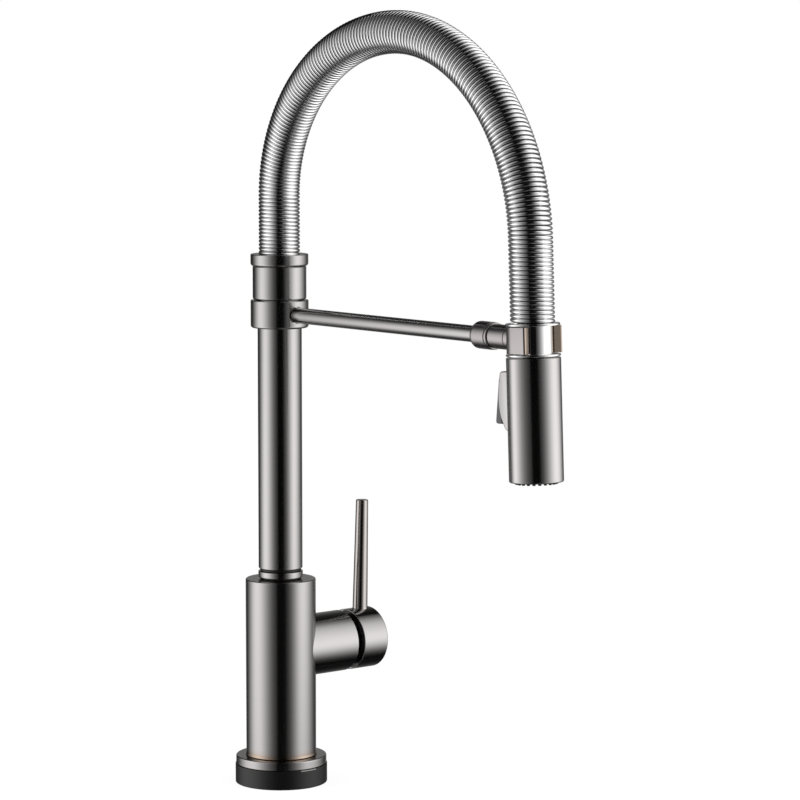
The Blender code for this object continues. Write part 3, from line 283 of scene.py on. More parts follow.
def setPanels():
    # Two upright bright sheets. Each glows as a bell of the angle seen from the column, times a bell of
    # height that widens with the distance from it and towards the camera, narrows away from the camera,
    # may keep a plateau above its level and may sink before the middle.
    low, high = panelCloth["foot"], panelCloth["top"]
    for name, panel in lightPanels.items():
        away, half = panel["away"], panel["half"]
        turn = cameraTurn + math.radians(panel["turnDeg"])
        outward = np.array((math.cos(turn), math.sin(turn), 0.0))
        aside = np.array((-math.sin(turn), math.cos(turn), 0.0))
        corners = [outward * away + aside * u * half + np.array((0, 0, v))
                   for u, v in ((-1, low), (1, low), (1, high), (-1, high))]
        material, finish = newMaterial(name + "Panel")
        place = stagePlace(finish)
        off = vectorCalc("DOT_PRODUCT", place, tuple(aside), "Value")
        angle = (off / away).calc("ARCTANGENT") * math.degrees(1.0)
        past = off.calc("GREATER_THAN", 0.0)
        width = panel["bells"][0] + (panel["bells"][1] - panel["bells"][0]) * past
        height = vectorCalc("DOT_PRODUCT", place, (0.0, 0.0, 1.0), "Value")
        height = height - panel["level"] - panel["slant"] * off * (1.0 - past)
        above = height.calc("GREATER_THAN", 0.0)
        front = off * (-1.0 if panel["turnDeg"] > 0 else 1.0)
        spread = (off * off + away ** 2) ** 0.5 / away
        spread = spread * (1.0 + panel["open"] / away * front.calc("MAXIMUM", 0.0))
        spread = spread / (1.0 - panel["shut"] / away * front.calc("MINIMUM", 0.0))
        bell = gauss(height / (panel["down"] + (panel["up"] - panel["down"]) * above) / spread, 1.0)
        tall = bell + panel["plateau"] * above * (1.0 - bell)
        fade = finish.node("ShaderNodeMapRange", {"interpolation_type": "SMOOTHSTEP"},
                           {"Value": abs(off), "From Min": half, "From Max": half * panelCloth["fadesFrom"]})
        level = panel["strength"] * gauss(angle, width) * tall * fade
        hangCloth(name + "Panel", sheetMesh(name + "Panel", corners), material, finish, level)


def setTent():
    # A dark round wall behind the panels with faint glows: each is a bell of the angle from its middle.
    material, finish = newMaterial("tentCloth")
    away = vectorCalc("SUBTRACT", stagePlace(finish), darkTent["centre"])
    way = vectorCalc("NORMALIZE", away)
    level = darkTent["rest"]
    for turnDeg, rise, spread, strength in darkTent["glows"].values():
        turn, tilt = cameraTurn + math.radians(turnDeg), math.radians(rise)
        middle = (math.cos(turn) * math.cos(tilt), math.sin(turn) * math.cos(tilt), math.sin(tilt))
        near = vectorCalc("DOT_PRODUCT", way, middle, "Value")
        angle = near.calc("MINIMUM", 1.0).calc("ARCCOSINE") * math.degrees(1.0)
        level = level + strength * gauss(angle, spread)
    ball = bmesh.new()
    bmesh.ops.create_uvsphere(ball, u_segments=darkTent["around"], v_segments=darkTent["rings"],
                              radius=darkTent["radius"])
    bmesh.ops.translate(ball, verts=ball.verts, vec=darkTent["centre"])
    mesh = bpy.data.meshes.new("tent")
    ball.to_mesh(mesh)
    ball.free()
    hangCloth("tent", mesh, material, finish, level)


def setLamps():
    # Soft square lamps that look at the tent's middle
    for name, lamp in fillLamps.items():
        light = bpy.data.lights.new(name + "Lamp", "AREA")
        light.size = lamp["size"]
        light.energy = lamp["watts"]
        thing = linkObject(name + "Lamp", light)
        aim(thing, lamp["place"], np.array(darkTent["centre"]) - lamp["place"])
        thing.visible_glossy = False


bpy.context.scene.view_settings.view_transform = "Standard"
setCamera()
setWorld()
setFloor()
setPanels()
setTent()
setLamps()
print("camera, floor and light set")


# Finishes

darkSteel = {
    "colour": (0.408, 0.398, 0.394), "roughness": 0.15, "roughDrift": 0.03, "toneDrift": 0.05,
    "cloudScale": 30.0, "cloudDrift": 0.02, "bump": 0.003, "bumpDepth": 0.00003,
}
armSteel = dict(darkSteel, roughness=0.18)
# A darker copy of the same steel for the dock's pieces: painted shade, where their highlights fall dimmer
shadedDockSteel = dict(darkSteel, colour=(0.336, 0.317, 0.315), roughness=0.22)
# A lighter, warmer copy of the same steel for the lever: a painted pinkish highlight
litLeverSteel = dict(darkSteel, colour=(0.436, 0.407, 0.390))
# A lighter copy of the same steel for the wand: painted light
litWandSteel = dict(darkSteel, colour=(0.452, 0.440, 0.436))
polish = {
    "colour": (0.84, 0.84, 0.845), "roughness": 0.09, "roughDrift": 0.04, "toneDrift": 0.05,
    "cloudScale": 40.0, "cloudDrift": 0.02, "bump": 0.03, "bumpDepth": 0.00004,
}
plainSteel = dict(polish, colour=(0.55, 0.55, 0.56), roughness=0.28, toneDrift=0.12, roughDrift=0.12)
turnedBrass = dict(polish, colour=(0.72, 0.53, 0.25), roughness=0.26, toneDrift=0.14, roughDrift=0.12)
greyMagnet = dict(polish, colour=(0.24, 0.24, 0.25), roughness=0.34)
blackPlastic = {
    "colour": (0.0025, 0.0025, 0.0026), "roughness": 0.36, "roughDrift": 0.16, "toneDrift": 0.3,
    "gloss": 0.50, "cloudScale": 60.0, "grit": 2600.0, "bump": 0.10, "bumpDepth": 0.0002,
}
whitePlastic = dict(blackPlastic, colour=(0.74, 0.74, 0.72), toneDrift=0.06)
rockerPlastic = dict(blackPlastic, colour=(0.058, 0.058, 0.062), roughness=0.42)
rubber = dict(blackPlastic, colour=(0.018, 0.018, 0.019), roughness=0.62, gloss=0.3)
boardGreen = dict(blackPlastic, colour=(0.02, 0.13, 0.05))
lampLens = {
    "colour": (0.17, 0.17, 0.168), "edgeColour": 0.90, "roughness": 0.3,
    "glow": (0.62, 0.62, 0.60), "edgeGlow": 0.75, "level": 0.06, "bell": 0.006,
}
brushing = {"fine": 1400.0, "long": 22.0}   # cycles per metre across and along the strokes


def ownPlace(finish):
    # The piece's own place
    return finish.node("ShaderNodeTexCoord", output="Object")


def ownAxis(finish, axis):
    # One axis of that place
    return finish.node("ShaderNodeSeparateXYZ", None, {0: ownPlace(finish)}, axis)


def streaks(finish, grain, turn=0.0, detail=2.0):
    # Noise drawn out along the polish: grain is cycles per metre along x, y and z, turn tips it about y.
    laid = finish.node("ShaderNodeMapping", None,
                       {"Vector": ownPlace(finish), "Rotation": (0.0, turn, 0.0), "Scale": grain})
    return finish.node("ShaderNodeTexNoise", None, {"Vector": laid, "Scale": 1.0, "Detail": detail})


def mixed(finish, share, first, second, blend="MIX"):
    # 6, 7 and output 2 are the Mix node's colour sockets.
    return finish.node("ShaderNodeMix", {"data_type": "RGBA", "blend_type": blend},
                       {"Factor": share, 6: first, 7: second}, 2)


def shaded(finish, colour, amount):
    # The colour times amount, a value round 1
    return mixed(finish, 1.0, (*colour, 1.0), amount, "MULTIPLY")


def metalFinish(name, spec, grain, turn=0.0, tinge=None):
    # Brushed metal: tone and roughness drift with the strokes and with soft clouds, and the strokes are a
    # bump. tinge gives the share and the colour of a second tone.
    material, finish = newMaterial(name)
    brush = streaks(finish, grain, turn, detail=3.0)
    cloud = spec["cloudDrift"] * (streaks(finish, (spec["cloudScale"],) * 3) - 0.5)
    tone = 1.0 + spec["toneDrift"] * (brush - 0.5) + cloud
    rough = spec["roughness"] + spec["roughDrift"] * (brush - 0.5) + cloud
    bump = finish.node("ShaderNodeBump", None,
                       {"Strength": spec["bump"], "Distance": spec["bumpDepth"], "Height": brush})
    colour = shaded(finish, spec["colour"], tone)
    if tinge is not None:
        share, second = tinge(finish)
        colour = mixed(finish, share, colour, (*second, 1.0))
    skin = finish.node("ShaderNodeBsdfPrincipled", None, {
        "Base Color": colour, "Metallic": 1.0, "Roughness": rough, "Normal": bump,
    })
    finish.close("ShaderNodeOutputMaterial", skin)
    return material


def mouldedFinish(name, spec):
    # Moulded plastic or rubber: a fine even grain in bump and roughness, and a tone that drifts in clouds
    material, finish = newMaterial(name)
    grit = streaks(finish, (spec["grit"],) * 3)
    cloud = streaks(finish, (spec["cloudScale"],) * 3)
    tone = 1.0 + spec["toneDrift"] * (cloud - 0.5)
    rough = spec["roughness"] + spec["roughDrift"] * (grit - 0.5)
    bump = finish.node("ShaderNodeBump", None,
                       {"Strength": spec["bump"], "Distance": spec["bumpDepth"], "Height": grit})
    skin = finish.node("ShaderNodeBsdfPrincipled", None, {
        "Base Color": shaded(finish, spec["colour"], tone), "Roughness": rough, "Normal": bump,
        "Specular IOR Level": spec["gloss"],
    })
    finish.close("ShaderNodeOutputMaterial", skin)
    return material


def lensFinish():
    # Frosted window: colour and glow rise from their edge share to 1 as a bell of y
    material, finish = newMaterial("lampLens")
    centre = gauss(ownAxis(finish, "Y"), lampLens["bell"])
    colour, glow = [shaded(finish, lampLens[key], lampLens[edge] + (1.0 - lampLens[edge]) * centre)
                    for key, edge in (("colour", "edgeColour"), ("glow", "edgeGlow"))]
    skin = finish.node("ShaderNodeBsdfPrincipled", None, {
        "Base Color": colour, "Roughness": lampLens["roughness"],
        "Emission Color": glow, "Emission Strength": lampLens["level"],
    })
    finish.close("ShaderNodeOutputMaterial", skin)
    return material


fine, long = brushing["fine"], brushing["long"]
roundX, roundY, roundZ = (fine, long, long), (long, fine, long), (long, long, fine)   # strokes round an axis
lathe, even, gritty = (60.0, 60.0, 900.0), (120.0,) * 3, (200.0,) * 3
leanBack = math.atan2(joints["wand_spin"]["axis"][0], joints["wand_spin"]["axis"][2])
finishes = {
    "steelZ": metalFinish("darkSteelRound", darkSteel, roundZ),
    "steelX": metalFinish("darkSteelArm", armSteel, roundX),
    "steelDock": metalFinish("darkSteelDock", shadedDockSteel, roundX),
    "steelY": metalFinish("darkSteelHandle", darkSteel, roundY),
    "steelLever": metalFinish("darkSteelLever", litLeverSteel, roundZ),
    "steelWand": metalFinish("darkSteelWand", litWandSteel, roundZ, -leanBack),
    "chrome": metalFinish("springChrome", polish, even),
    "steel": metalFinish("plainSteel", plainSteel, lathe),
    "brass": metalFinish("turnedBrass", turnedBrass, lathe),
    "magnet": metalFinish("dockMagnet", greyMagnet, gritty),
    "black_plastic": mouldedFinish("basePlastic", blackPlastic),
    "white_plastic": mouldedFinish("innerPlastic", whitePlastic),
    "grey_plastic": mouldedFinish("rockerPlastic", rockerPlastic),
    "rubber": mouldedFinish("sealRubber", rubber),
    "board": mouldedFinish("boardGreen", boardGreen),
    "lens": lensFinish(),
}
print("finishes made:", len(finishes))


# Shapes

slack = 0.0003   # clearance between neighbouring pieces
fineEdge = 0.0003   # rounding of an edge that is only just broken
creaseDeg = 38.0   # edges that turn more than this are shaded sharp
cornerRule = {"beside": 0.2, "spare": 0.4, "least": 4e-6}   # shares of the round and of the run, and metres
weld = {"points": 2e-7, "edges": 1e-8}
overrun = 3.0   # tools run this many times as far as the edge that they cut
# Points round a circle
facets = {"hub": 200, "cap": 192, "column": 160, "collar": 112, "rod": 96, "lever": 72, "drill": 64,
          "tube": 48, "pin": 32}


def makeSeat(place, up, side):
    # A piece's own axes: local z along up, local x as near side as it can be
    z = np.array(up, float) / np.linalg.norm(up)
    y = np.cross(z, side)
    y /= np.linalg.norm(y)
    return np.column_stack([np.cross(y, z), y, z, place])


deckSeat = makeSeat((0, 0, 0), (0, 0, 1), (1, 0, 0))
wandSeat = makeSeat(joints["wand_spin"]["pos_m"], joints["wand_spin"]["axis"], (1, 0, 0))
armSeat = makeSeat((0, 0, wandSeat[2, 3]), (1, 0, 0), (0, 0, 1))
handleSeat = makeSeat(joints["handle_temperature"]["pos_m"], (0, 1, 0), (1, 0, 0))


def nodePoints(node, seat=deckSeat):
    # A solid's points in a seat's own axes
    flat = np.empty(len(nodes[node].data.vertices) * 3, np.float32)
    nodes[node].data.vertices.foreach_get("co", flat)
    return (flat.reshape(-1, 3) - seat[:, 3]) @ seat[:, :3]


def radiusOf(points):
    # Distance from the local z axis
    return np.hypot(points[:, 0], points[:, 1])


def turnedSize(node, seat=deckSeat):
    # Outer radius, bore, foot and top of a turned solid about its seat's axis
    points = nodePoints(node, seat)
    radius = radiusOf(points)
    return radius.max(), radius.min(), points[:, 2].min(), points[:, 2].max()


def wideSpan(node, seat=deckSeat, share=0.97):
    # Lowest and highest point of a turned solid where it is wider than a share of its greatest radius
    points = nodePoints(node, seat)
    radius = radiusOf(points)
    wide = points[radius > radius.max() * share, 2]
    return wide.min(), wide.max()


def leaningSeat(node):
    # The line through a long turned solid: its middle and its direction of greatest spread, upwards
    points = nodePoints(node)
    middle = points.mean(0)
    line = np.linalg.svd(points - middle, full_matrices=False)[2][0]
    return makeSeat(middle, line * np.sign(line[2]), (1, 0, 0))


def circle(around):
    # Even angles round a full turn
    return np.linspace(0, math.tau, around, endpoint=False)


def polar(radius, angle, height):
    # Points at a radius and an angle about z, at a height
    radius, angle, height = np.broadcast_arrays(radius, angle, height)
    return np.stack([radius * np.cos(angle), radius * np.sin(angle), height], -1)


def ringRows(rows, angle):
    # Rings of points about z from pairs of radius and height, which may both change round the ring
    radius, height = [np.array([row[k] + 0 * angle for row in rows]) for k in (0, 1)]
    return polar(radius, angle, height)


def sixSides(flat, angle):
    # A hexagon's radius: its flat over the cosine of the angle from the nearest flat's middle
    return flat / np.cos(angle % (math.pi / 3) - math.pi / 6)


def toWorld(points, seat):
    # From a seat's own axes to the room: each axis times its share, plus the seat's place
    return points @ seat[:, :3].T + seat[:, 3]


def rounded(corners, closed=True, steps=5):
    # Straight runs between corners (u, v, round), each round corner swapped for an arc that meets both runs,
    # with a point just before and after it so that the flats stay flat when shaded.
    corners = np.array(corners, float)
    spots, sizes = corners[:, :2], corners[:, 2].copy()
    if not closed:
        sizes[[0, -1]] = 0
    before, after = np.roll(spots, 1, 0) - spots, np.roll(spots, -1, 0) - spots
    spans = np.linalg.norm(before, axis=1), np.linalg.norm(after, axis=1)
    before, after = before / spans[0][:, None], after / spans[1][:, None]
    half = np.arccos(np.clip(np.sum(before * after, 1), -1, 1)) / 2
    run = np.where(sizes > 0, sizes / np.tan(half), 0)
    spare = np.stack([spans[0] - run - np.roll(run, 1), spans[1] - run - np.roll(run, -1)], -1)
    share = np.linspace(0, 1, steps + 1)[:, None]
    rows = []
    for i, size in enumerate(sizes):
        if size <= 0:
            rows.append(spots[i:i + 1])
            continue
        inward = (before[i] + after[i]) / np.linalg.norm(before[i] + after[i])
        middle = spots[i] + inward * size / math.sin(half[i])
        start, end = spots[i] + before[i] * run[i] - middle, spots[i] + after[i] * run[i] - middle
        sweep = math.pi - 2 * half[i]
        arc = (start * np.sin((1 - share) * sweep) + end * np.sin(share * sweep)) / math.sin(sweep) + middle
        keep = np.minimum(cornerRule["beside"] * size, cornerRule["spare"] * spare[i])
        rows += [arc[:1] + before[i] * keep[0], arc, arc[-1:] + after[i] * keep[1]]
    line = np.concatenate(rows)
    step = np.linalg.norm(line - np.roll(line, 1, 0), axis=1)
    return line[(step > cornerRule["least"]) | (np.arange(len(line)) == 0)]


def gridFaces(rows, columns, wrapRows, wrapColumns):
    # Quads between neighbouring rows and columns
    i, j = np.meshgrid(np.arange(rows if wrapRows else rows - 1),
                       np.arange(columns if wrapColumns else columns - 1), indexing="ij")
    n, m = (i + 1) % rows, (j + 1) % columns
    corners = (i * columns + j, i * columns + m, n * columns + m, n * columns + j)
    return np.stack(corners, -1).reshape(-1, 4)


def smoothed(mesh, sharpDeg=creaseDeg):
    # Smooth shading, broken where neighbouring faces turn more than an angle
    mesh.shade_smooth()
    mesh.set_sharp_from_angle(angle=math.radians(sharpDeg))
    return mesh


def meshOf(name, *grids, sharpDeg=creaseDeg):
    # One mesh from grids of (points, wrapRows, wrapColumns, caps); caps close the first and last row.
    shape = bmesh.new()
    for points, wrapRows, wrapColumns, caps in grids:
        rows, columns = points.shape[:2]
        mesh = bpy.data.meshes.new("part")
        faces = gridFaces(rows, columns, wrapRows, wrapColumns).tolist()
        if caps:
            faces += [list(range(columns)), list(range((rows - 1) * columns, rows * columns))]
        mesh.from_pydata(points.reshape(-1, 3).tolist(), [], faces)
        shape.from_mesh(mesh)
        bpy.data.meshes.remove(mesh)
    bmesh.ops.remove_doubles(shape, verts=shape.verts, dist=weld["points"])
    bmesh.ops.dissolve_degenerate(shape, edges=shape.edges, dist=weld["edges"])
    bmesh.ops.recalc_face_normals(shape, faces=shape.faces)
    mesh = bpy.data.meshes.new(name)
    shape.to_mesh(mesh)
    shape.free()
    return smoothed(mesh, sharpDeg)


def turned(profile, seat=deckSeat, around=facets["column"], closed=True):
    # A profile of (radius, height) carried round the seat's axis; an open one starts and ends on the axis.
    return toWorld(polar(profile[:, :1], circle(around), profile[:, 1:]), seat), closed, True, False


def prism(outline, half, edge, seat, steps=4):
    # An outline of (u, v) carried along local z from -half to half, its rim drawn in along a quarter circle
    ahead = np.roll(outline, -1, 0) - np.roll(outline, 1, 0)
    inward = np.stack([-ahead[:, 1], ahead[:, 0]], -1) / np.linalg.norm(ahead, axis=1)[:, None]
    area = np.sum(outline[:, 0] * np.roll(outline[:, 1], -1) - np.roll(outline[:, 0], -1) * outline[:, 1])
    inward *= np.sign(area)
    turn = np.linspace(0, math.pi / 2, steps + 1)
    draw = np.concatenate([edge * (1 - np.sin(turn)), edge * (1 - np.sin(turn[::-1]))])
    level = np.concatenate([-half + edge * (1 - np.cos(turn)), half - edge * (1 - np.cos(turn[::-1]))])
    flat = outline[None] + inward[None] * draw[:, None, None]
    height = np.repeat(level[:, None], len(outline), 1)
    return toWorld(np.concatenate([flat, height[..., None]], -1), seat), False, True, True


def block(name, low, high, half, seat):
    # A plain box from the corner low to the corner high in u and v, and half to each side
    outline = np.array([(low[0], low[1]), (high[0], low[1]), (high[0], high[1]), (low[0], high[1])])
    return meshOf(name, prism(outline, half, 0.0, seat, 0))


def drill(radius, low, high, seat, around=facets["drill"]):
    # A plain cylinder from low to high along the seat's axis
    profile = np.array([(0, low), (radius, low), (radius, high), (0, high)])
    return meshOf("drill", turned(profile, seat, around, False))


def carved(mesh, tool, operation="DIFFERENCE"):
    # Blender's exact boolean, kept as a plain mesh
    stock, cutter = linkObject("stock", mesh), linkObject("cutter", tool)
    step = stock.modifiers.new("cut", "BOOLEAN")
    step.operation = operation
    step.solver = "EXACT"
    step.object = cutter
    depsgraph = bpy.context.evaluated_depsgraph_get()
    made = bpy.data.meshes.new_from_object(stock.evaluated_get(depsgraph))
    name = mesh.name
    for thing, old in ((stock, mesh), (cutter, tool)):
        bpy.data.objects.remove(thing)
        bpy.data.meshes.remove(old)
    made.name = name
    return smoothed(made)


def addPiece(mesh, finish, node):
    # The piece rides with the solid that it stands for and takes the given finish, and the solid is hidden.
    piece = linkObject(mesh.name, mesh)
    mesh.materials.clear()
    mesh.materials.append(finishes[finish])
    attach(piece, nodes[node]["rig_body"])
    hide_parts(node)


def ringProfile(node, seat, footEdge, topEdge):
    # A plain ring's section at the solid's own size, with its outer edges rounded
    outer, bore, foot, top = turnedSize(node, seat)
    return rounded([(bore, foot, 0), (outer, foot, footEdge), (outer, top, topEdge), (bore, top, 0)])


def ringPiece(name, node, finish, footEdge, topEdge, seat=deckSeat, around=facets["column"]):
    # That section carried round the seat's axis
    profile = ringProfile(node, seat, footEdge, topEdge)
    addPiece(meshOf(name, turned(profile, seat, around)), finish, node)


# Base, trim and body

baseRing = {"foot": 0.0007, "top": 0.00025}
lensBand = {"spanDeg": 24.0, "deep": 0.0030, "sunk": 0.0004, "shy": 0.0001, "steps": 25,
            "notchRise": 0.002, "notchOut": 1.05}
baseRings = {
    # solid, finish, rounding of the foot and of the top
    "deckGasket": ("deck_gasket", "rubber", 0.0004, 0.0004),
    "trimRing": ("trim_ring", "steelZ", 0.0003, 0.0009),
}
# Its last two entries are the tone and reach of a painted warm reflection and painted shade at the body's
# foot
bodyTube = {"flare": 0.0004, "flareTall": 0.0016, "flareRound": 0.0012, "foot": 0.0002, "footTall": 0.0003,
            "top": 0.0008, "sharpDeg": 24.0, "footReflectionTone": (0.385, 0.300, 0.235), "footReflectionReach": 0.0022}
bodyStub = {"rim": 0.0005, "bore": 0.01785, "rootDeep": 0.0015, "rootRings": 9}


def arcBand(name, outer, grown, reach, low, high):
    # A rectangle from the window's back out to reach, and from low to high, carried along an arc about z
    half = math.radians(lensBand["spanDeg"] / 2) + grown / outer
    angle = np.linspace(-half, half, lensBand["steps"])[:, None]
    back = outer - lensBand["deep"] - grown
    points = polar(np.array([back, reach, reach, back]), angle, np.array([low, low, high, high]))
    return meshOf(name, (points, False, True, True))


def makeBase():
    # The base is a turned ring, stepped underneath for the gasket. A band of arc a little larger than the
    # window is cut from it, and the window is that band at its own size.
    outer, bore, foot, top = turnedSize("touch_base_ring")
    gasketOuter, _, _, gasketTop = turnedSize("deck_gasket")
    step, roof = gasketOuter + slack, gasketTop + slack
    ring = meshOf("touchBase", turned(rounded([
        (bore, roof, 0), (step, roof, 0), (step, foot, 0),
        (outer, foot, baseRing["foot"]), (outer, top, baseRing["top"]), (bore, top, 0),
    ])))
    low, high = (corner[2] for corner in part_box("indicator_lens"))
    notch = arcBand("notch", outer, slack, outer * lensBand["notchOut"], low - slack,
                    high + lensBand["notchRise"])
    lens = arcBand("indicatorLens", outer, 0.0, outer - lensBand["shy"], low, high - lensBand["sunk"])
    addPiece(lens, "lens", "indicator_lens")
    addPiece(carved(ring, notch), "black_plastic", "touch_base_ring")
    for name, spec in baseRings.items():
        ringPiece(name, *spec)


def makeBody():
    # A turned tube with a small flare at its foot, joined to the stub and bored. The stub is turned from its
    # end to its root, a patch of a cylinder inside the tube's wall.
    points = nodePoints("valve_body")
    outer, bore = -points[:, 0].min(), radiusOf(points).min()
    foot, top = points[:, 2].min(), points[:, 2].max()
    wide = outer + bodyTube["flare"]
    wall = rounded([
        (bore, foot, 0), (wide, foot, bodyTube["foot"]), (wide, foot + bodyTube["footTall"], fineEdge),
        (outer, foot + bodyTube["flareTall"], bodyTube["flareRound"]), (outer, top, bodyTube["top"]),
        (bore, top, 0),
    ])
    stubOuter, stubStart = turnedSize("handle_cap", handleSeat)[0], handleSeat[1, 3]
    reach = points[:, 1].max() - stubStart
    rim = rounded([(0, reach, 0), (stubOuter, reach, bodyStub["rim"]), (stubOuter, reach / 2, 0)], False)
    angle = circle(facets["column"])
    inside = np.linspace(stubOuter, 0, bodyStub["rootRings"])
    root = np.sqrt((outer - bodyStub["rootDeep"]) ** 2 - np.outer(inside, np.cos(angle)) ** 2) - stubStart
    stub = toWorld(ringRows([*rim, *zip(inside, root)], angle), handleSeat)
    body = carved(meshOf("valveBody", turned(wall)), meshOf("stub", (stub, False, True, False)), "UNION")
    body = carved(body, drill(bodyStub["bore"], -stubStart, reach * overrun, handleSeat, facets["collar"]))

    def paintedFootReflection(finish):
        # A warm tone, darker than the steel, fades upwards from the foot as a bell: painted warm reflection
        # of the trim ring and painted shade at the body's foot.
        return gauss(ownAxis(finish, "Z") - foot, bodyTube["footReflectionReach"]), bodyTube["footReflectionTone"]

    finishes["steelBody"] = metalFinish("darkSteelBody", darkSteel, roundZ, 0.0, paintedFootReflection)
    addPiece(smoothed(body, bodyTube["sharpDeg"]), "steelBody", "valve_body")


makeBase()
makeBody()
print("base and body made")


# Riser, hub and arm

riserRings = {
    # solid, finish, rounding of the foot and of the top
    "glideWasher": ("glide_washer", "black_plastic", 0.0001, 0.0001),
    "swivelCollar": ("swivel_collar", "steelZ", 0.0004, 0.0004),
    "glideRing": ("glide_ring", "black_plastic", 0.0002, 0.0002),
    "riserTube": ("riser_tube", "steelZ", 0.0005, 0.0002),
    "hubSleeve": ("hub_sleeve", "steelZ", 0.0016, 0.0004),
}
armRing = {"foot": 0.0017, "top": 0.0006, "socketRim": 0.0007, "socketDeep": 0.0022}
springSeat = {"foot": 0.0019, "top": 0.0007, "skirt": 0.0151, "rimDrop": 0.0009,
              "pocket": 0.0146, "pocketDeep": 0.0046, "pocketEdge": 0.0004}
armRod = {"tenon": 0.0037, "step": 0.0016, "end": 0.0, "wideShare": 0.8, "around": facets["rod"]}
neckRod = {"tenon": 0.0040, "step": 0.0003, "end": 0.0003, "wideShare": 0.8, "around": facets["collar"]}
ferruleEdges = (0.0034, 0.0004)   # rounding of the end by the hub and of the far end
lockRingEdges = (0.0003, 0.0005)
grubScrew = {"key": 0.5, "rim": 0.12, "sharpDeg": 25.0}   # key and rim: shares of the radius


def makeRiser():
    # Plain turned rings. The arm's ring is drilled for the arm and for its grub screw, and the spring's seat
    # is a turned cup on a narrower skirt.
    for name, spec in riserRings.items():
        ringPiece(name, *spec)
    hub = turnedSize("arm_ring")[0]
    profile = ringProfile("arm_ring", deckSeat, armRing["foot"], armRing["top"])
    ring = meshOf("armRing", turned(profile, deckSeat, facets["hub"]))
    socket = turnedSize("support_arm", armSeat)[0] + armRing["socketRim"]
    ring = carved(ring, drill(socket, hub - armRing["socketDeep"], hub * overrun, armSeat, facets["rod"]))
    grub, _, back, _ = turnedSize("arm_grub_screw", armSeat)
    ring = carved(ring, drill(grub + slack, back * overrun, 0.0, armSeat))
    addPiece(ring, "steelZ", "arm_ring")
    outer, bore, foot, top = turnedSize("spring_seat")
    rim = wideSpan("spring_seat")[0] - springSeat["rimDrop"]
    skirt, pocket, floor = springSeat["skirt"], springSeat["pocket"], top - springSeat["pocketDeep"]
    profile = rounded([
        (bore, foot, 0), (skirt, foot, 0), (skirt, rim, 0), (outer, rim, springSeat["foot"]),
        (outer, top, springSeat["top"]), (pocket, top, springSeat["pocketEdge"]), (pocket, floor, 0),
        (bore, floor, 0),
    ])
    addPiece(meshOf("springSeat", turned(profile)), "steelZ", "spring_seat")


def steppedRod(name, node, finish, rod):
    # A turned rod along the arm with a thinner tenon, which ends where the solid widens
    outer, _, foot, top = turnedSize(node, armSeat)
    step, tenon = wideSpan(node, armSeat, rod["wideShare"])[0], rod["tenon"]
    profile = rounded([(0, foot, 0), (tenon, foot, 0), (tenon, step, 0), (outer, step, rod["step"]),
                       (outer, top, rod["end"]), (0, top, 0)], False)
    addPiece(meshOf(name, turned(profile, armSeat, rod["around"], False)), finish, node)


def screwPiece(name, node, seat):
    # A grub screw: a short rod with a bevelled head at its lower end and a six sided socket sunk in that
    outer, _, head, tail = turnedSize(node, seat)
    angle = circle(facets["tube"])
    key = sixSides(outer * grubScrew["key"], angle + math.pi / 6)
    rim = outer * grubScrew["rim"]
    rows = [(0, tail), (outer, tail), (outer, head + rim), (outer - rim, head), (key, head),
            (key, head + outer), (0, head + outer)]
    rod = toWorld(ringRows(rows, angle), seat), False, True, False
    addPiece(meshOf(name, rod, sharpDeg=grubScrew["sharpDeg"]), "steel", node)


def makeArm():
    # From the hub outwards: the rod, its ferrule and lock ring, the cradle's neck, and the hub's grub screw
    steppedRod("supportArm", "support_arm", "steelX", armRod)
    ringPiece("armFerrule", "arm_ferrule", "steelDock", *ferruleEdges, armSeat, facets["collar"])
    ringPiece("armLockRing", "arm_lock_ring", "steelDock", *lockRingEdges, armSeat, facets["collar"])
    steppedRod("cradleNeck", "cradle_neck", "steelDock", neckRod)
    screwPiece("armGrubScrew", "arm_grub_screw", armSeat)


makeRiser()
makeArm()
print("riser, hub and arm made")


# Dock and wand

# Its last two entries are the tone and reach of a painted warm reflection on the arms' end faces
cradleShape = {"tall": 0.0171, "wide": 0.01625, "behind": 0.0150, "corner": 0.0130, "slot": 0.0101,
               "back": 0.0128, "backRound": 0.0060, "lead": 0.0025, "edge": 0.0011, "rim": 0.0005,
               "bendSteps": 24, "tipReflectionTone": (0.475, 0.388, 0.312), "tipReflectionReach": 0.0004}
# The flats' tone and reach paint shade on them where they sit inside the cradle's slot
spoolShape = {"neck": 0.0124, "flats": 0.0097, "neckFoot": -0.0086, "neckTop": 0.0093, "rim": 0.0007,
              "cup": 0.0146, "cupDeep": 0.0009, "flatShadeTone": (0.30, 0.30, 0.305), "flatShadeReach": 0.0001,
              "neckSteep": 8, "neckReach": 0.4}
wandShape = {"topEdge": 0.0005, "footEdge": 0.0010, "bore": 0.0153, "roof": 0.003, "mouth": 0.0015}
nozzles = {"count": 22, "ring": 0.0127, "radius": 0.00120, "tip": 0.00105, "root": 0.001,
           "hole": 0.0003, "holeEdge": 0.0001, "holeDeep": 0.0008, "around": 14, "steps": 3}
aeratorRing = {"lip": 0.0006, "inner": 0.0002, "outer": 0.0005}


def cradleSeat():
    # The cradle's own axes, from its middle up along the wand and out of the mouth, and its tips' reach
    points = nodePoints("docking_cradle", wandSeat)
    middle = wandSeat[:, 3] + wandSeat[:, 2] * (points[:, 2].max() - cradleShape["tall"] / 2)
    return makeSeat(middle, wandSeat[:, 2], wandSeat[:, 0]), points[:, 0].max()


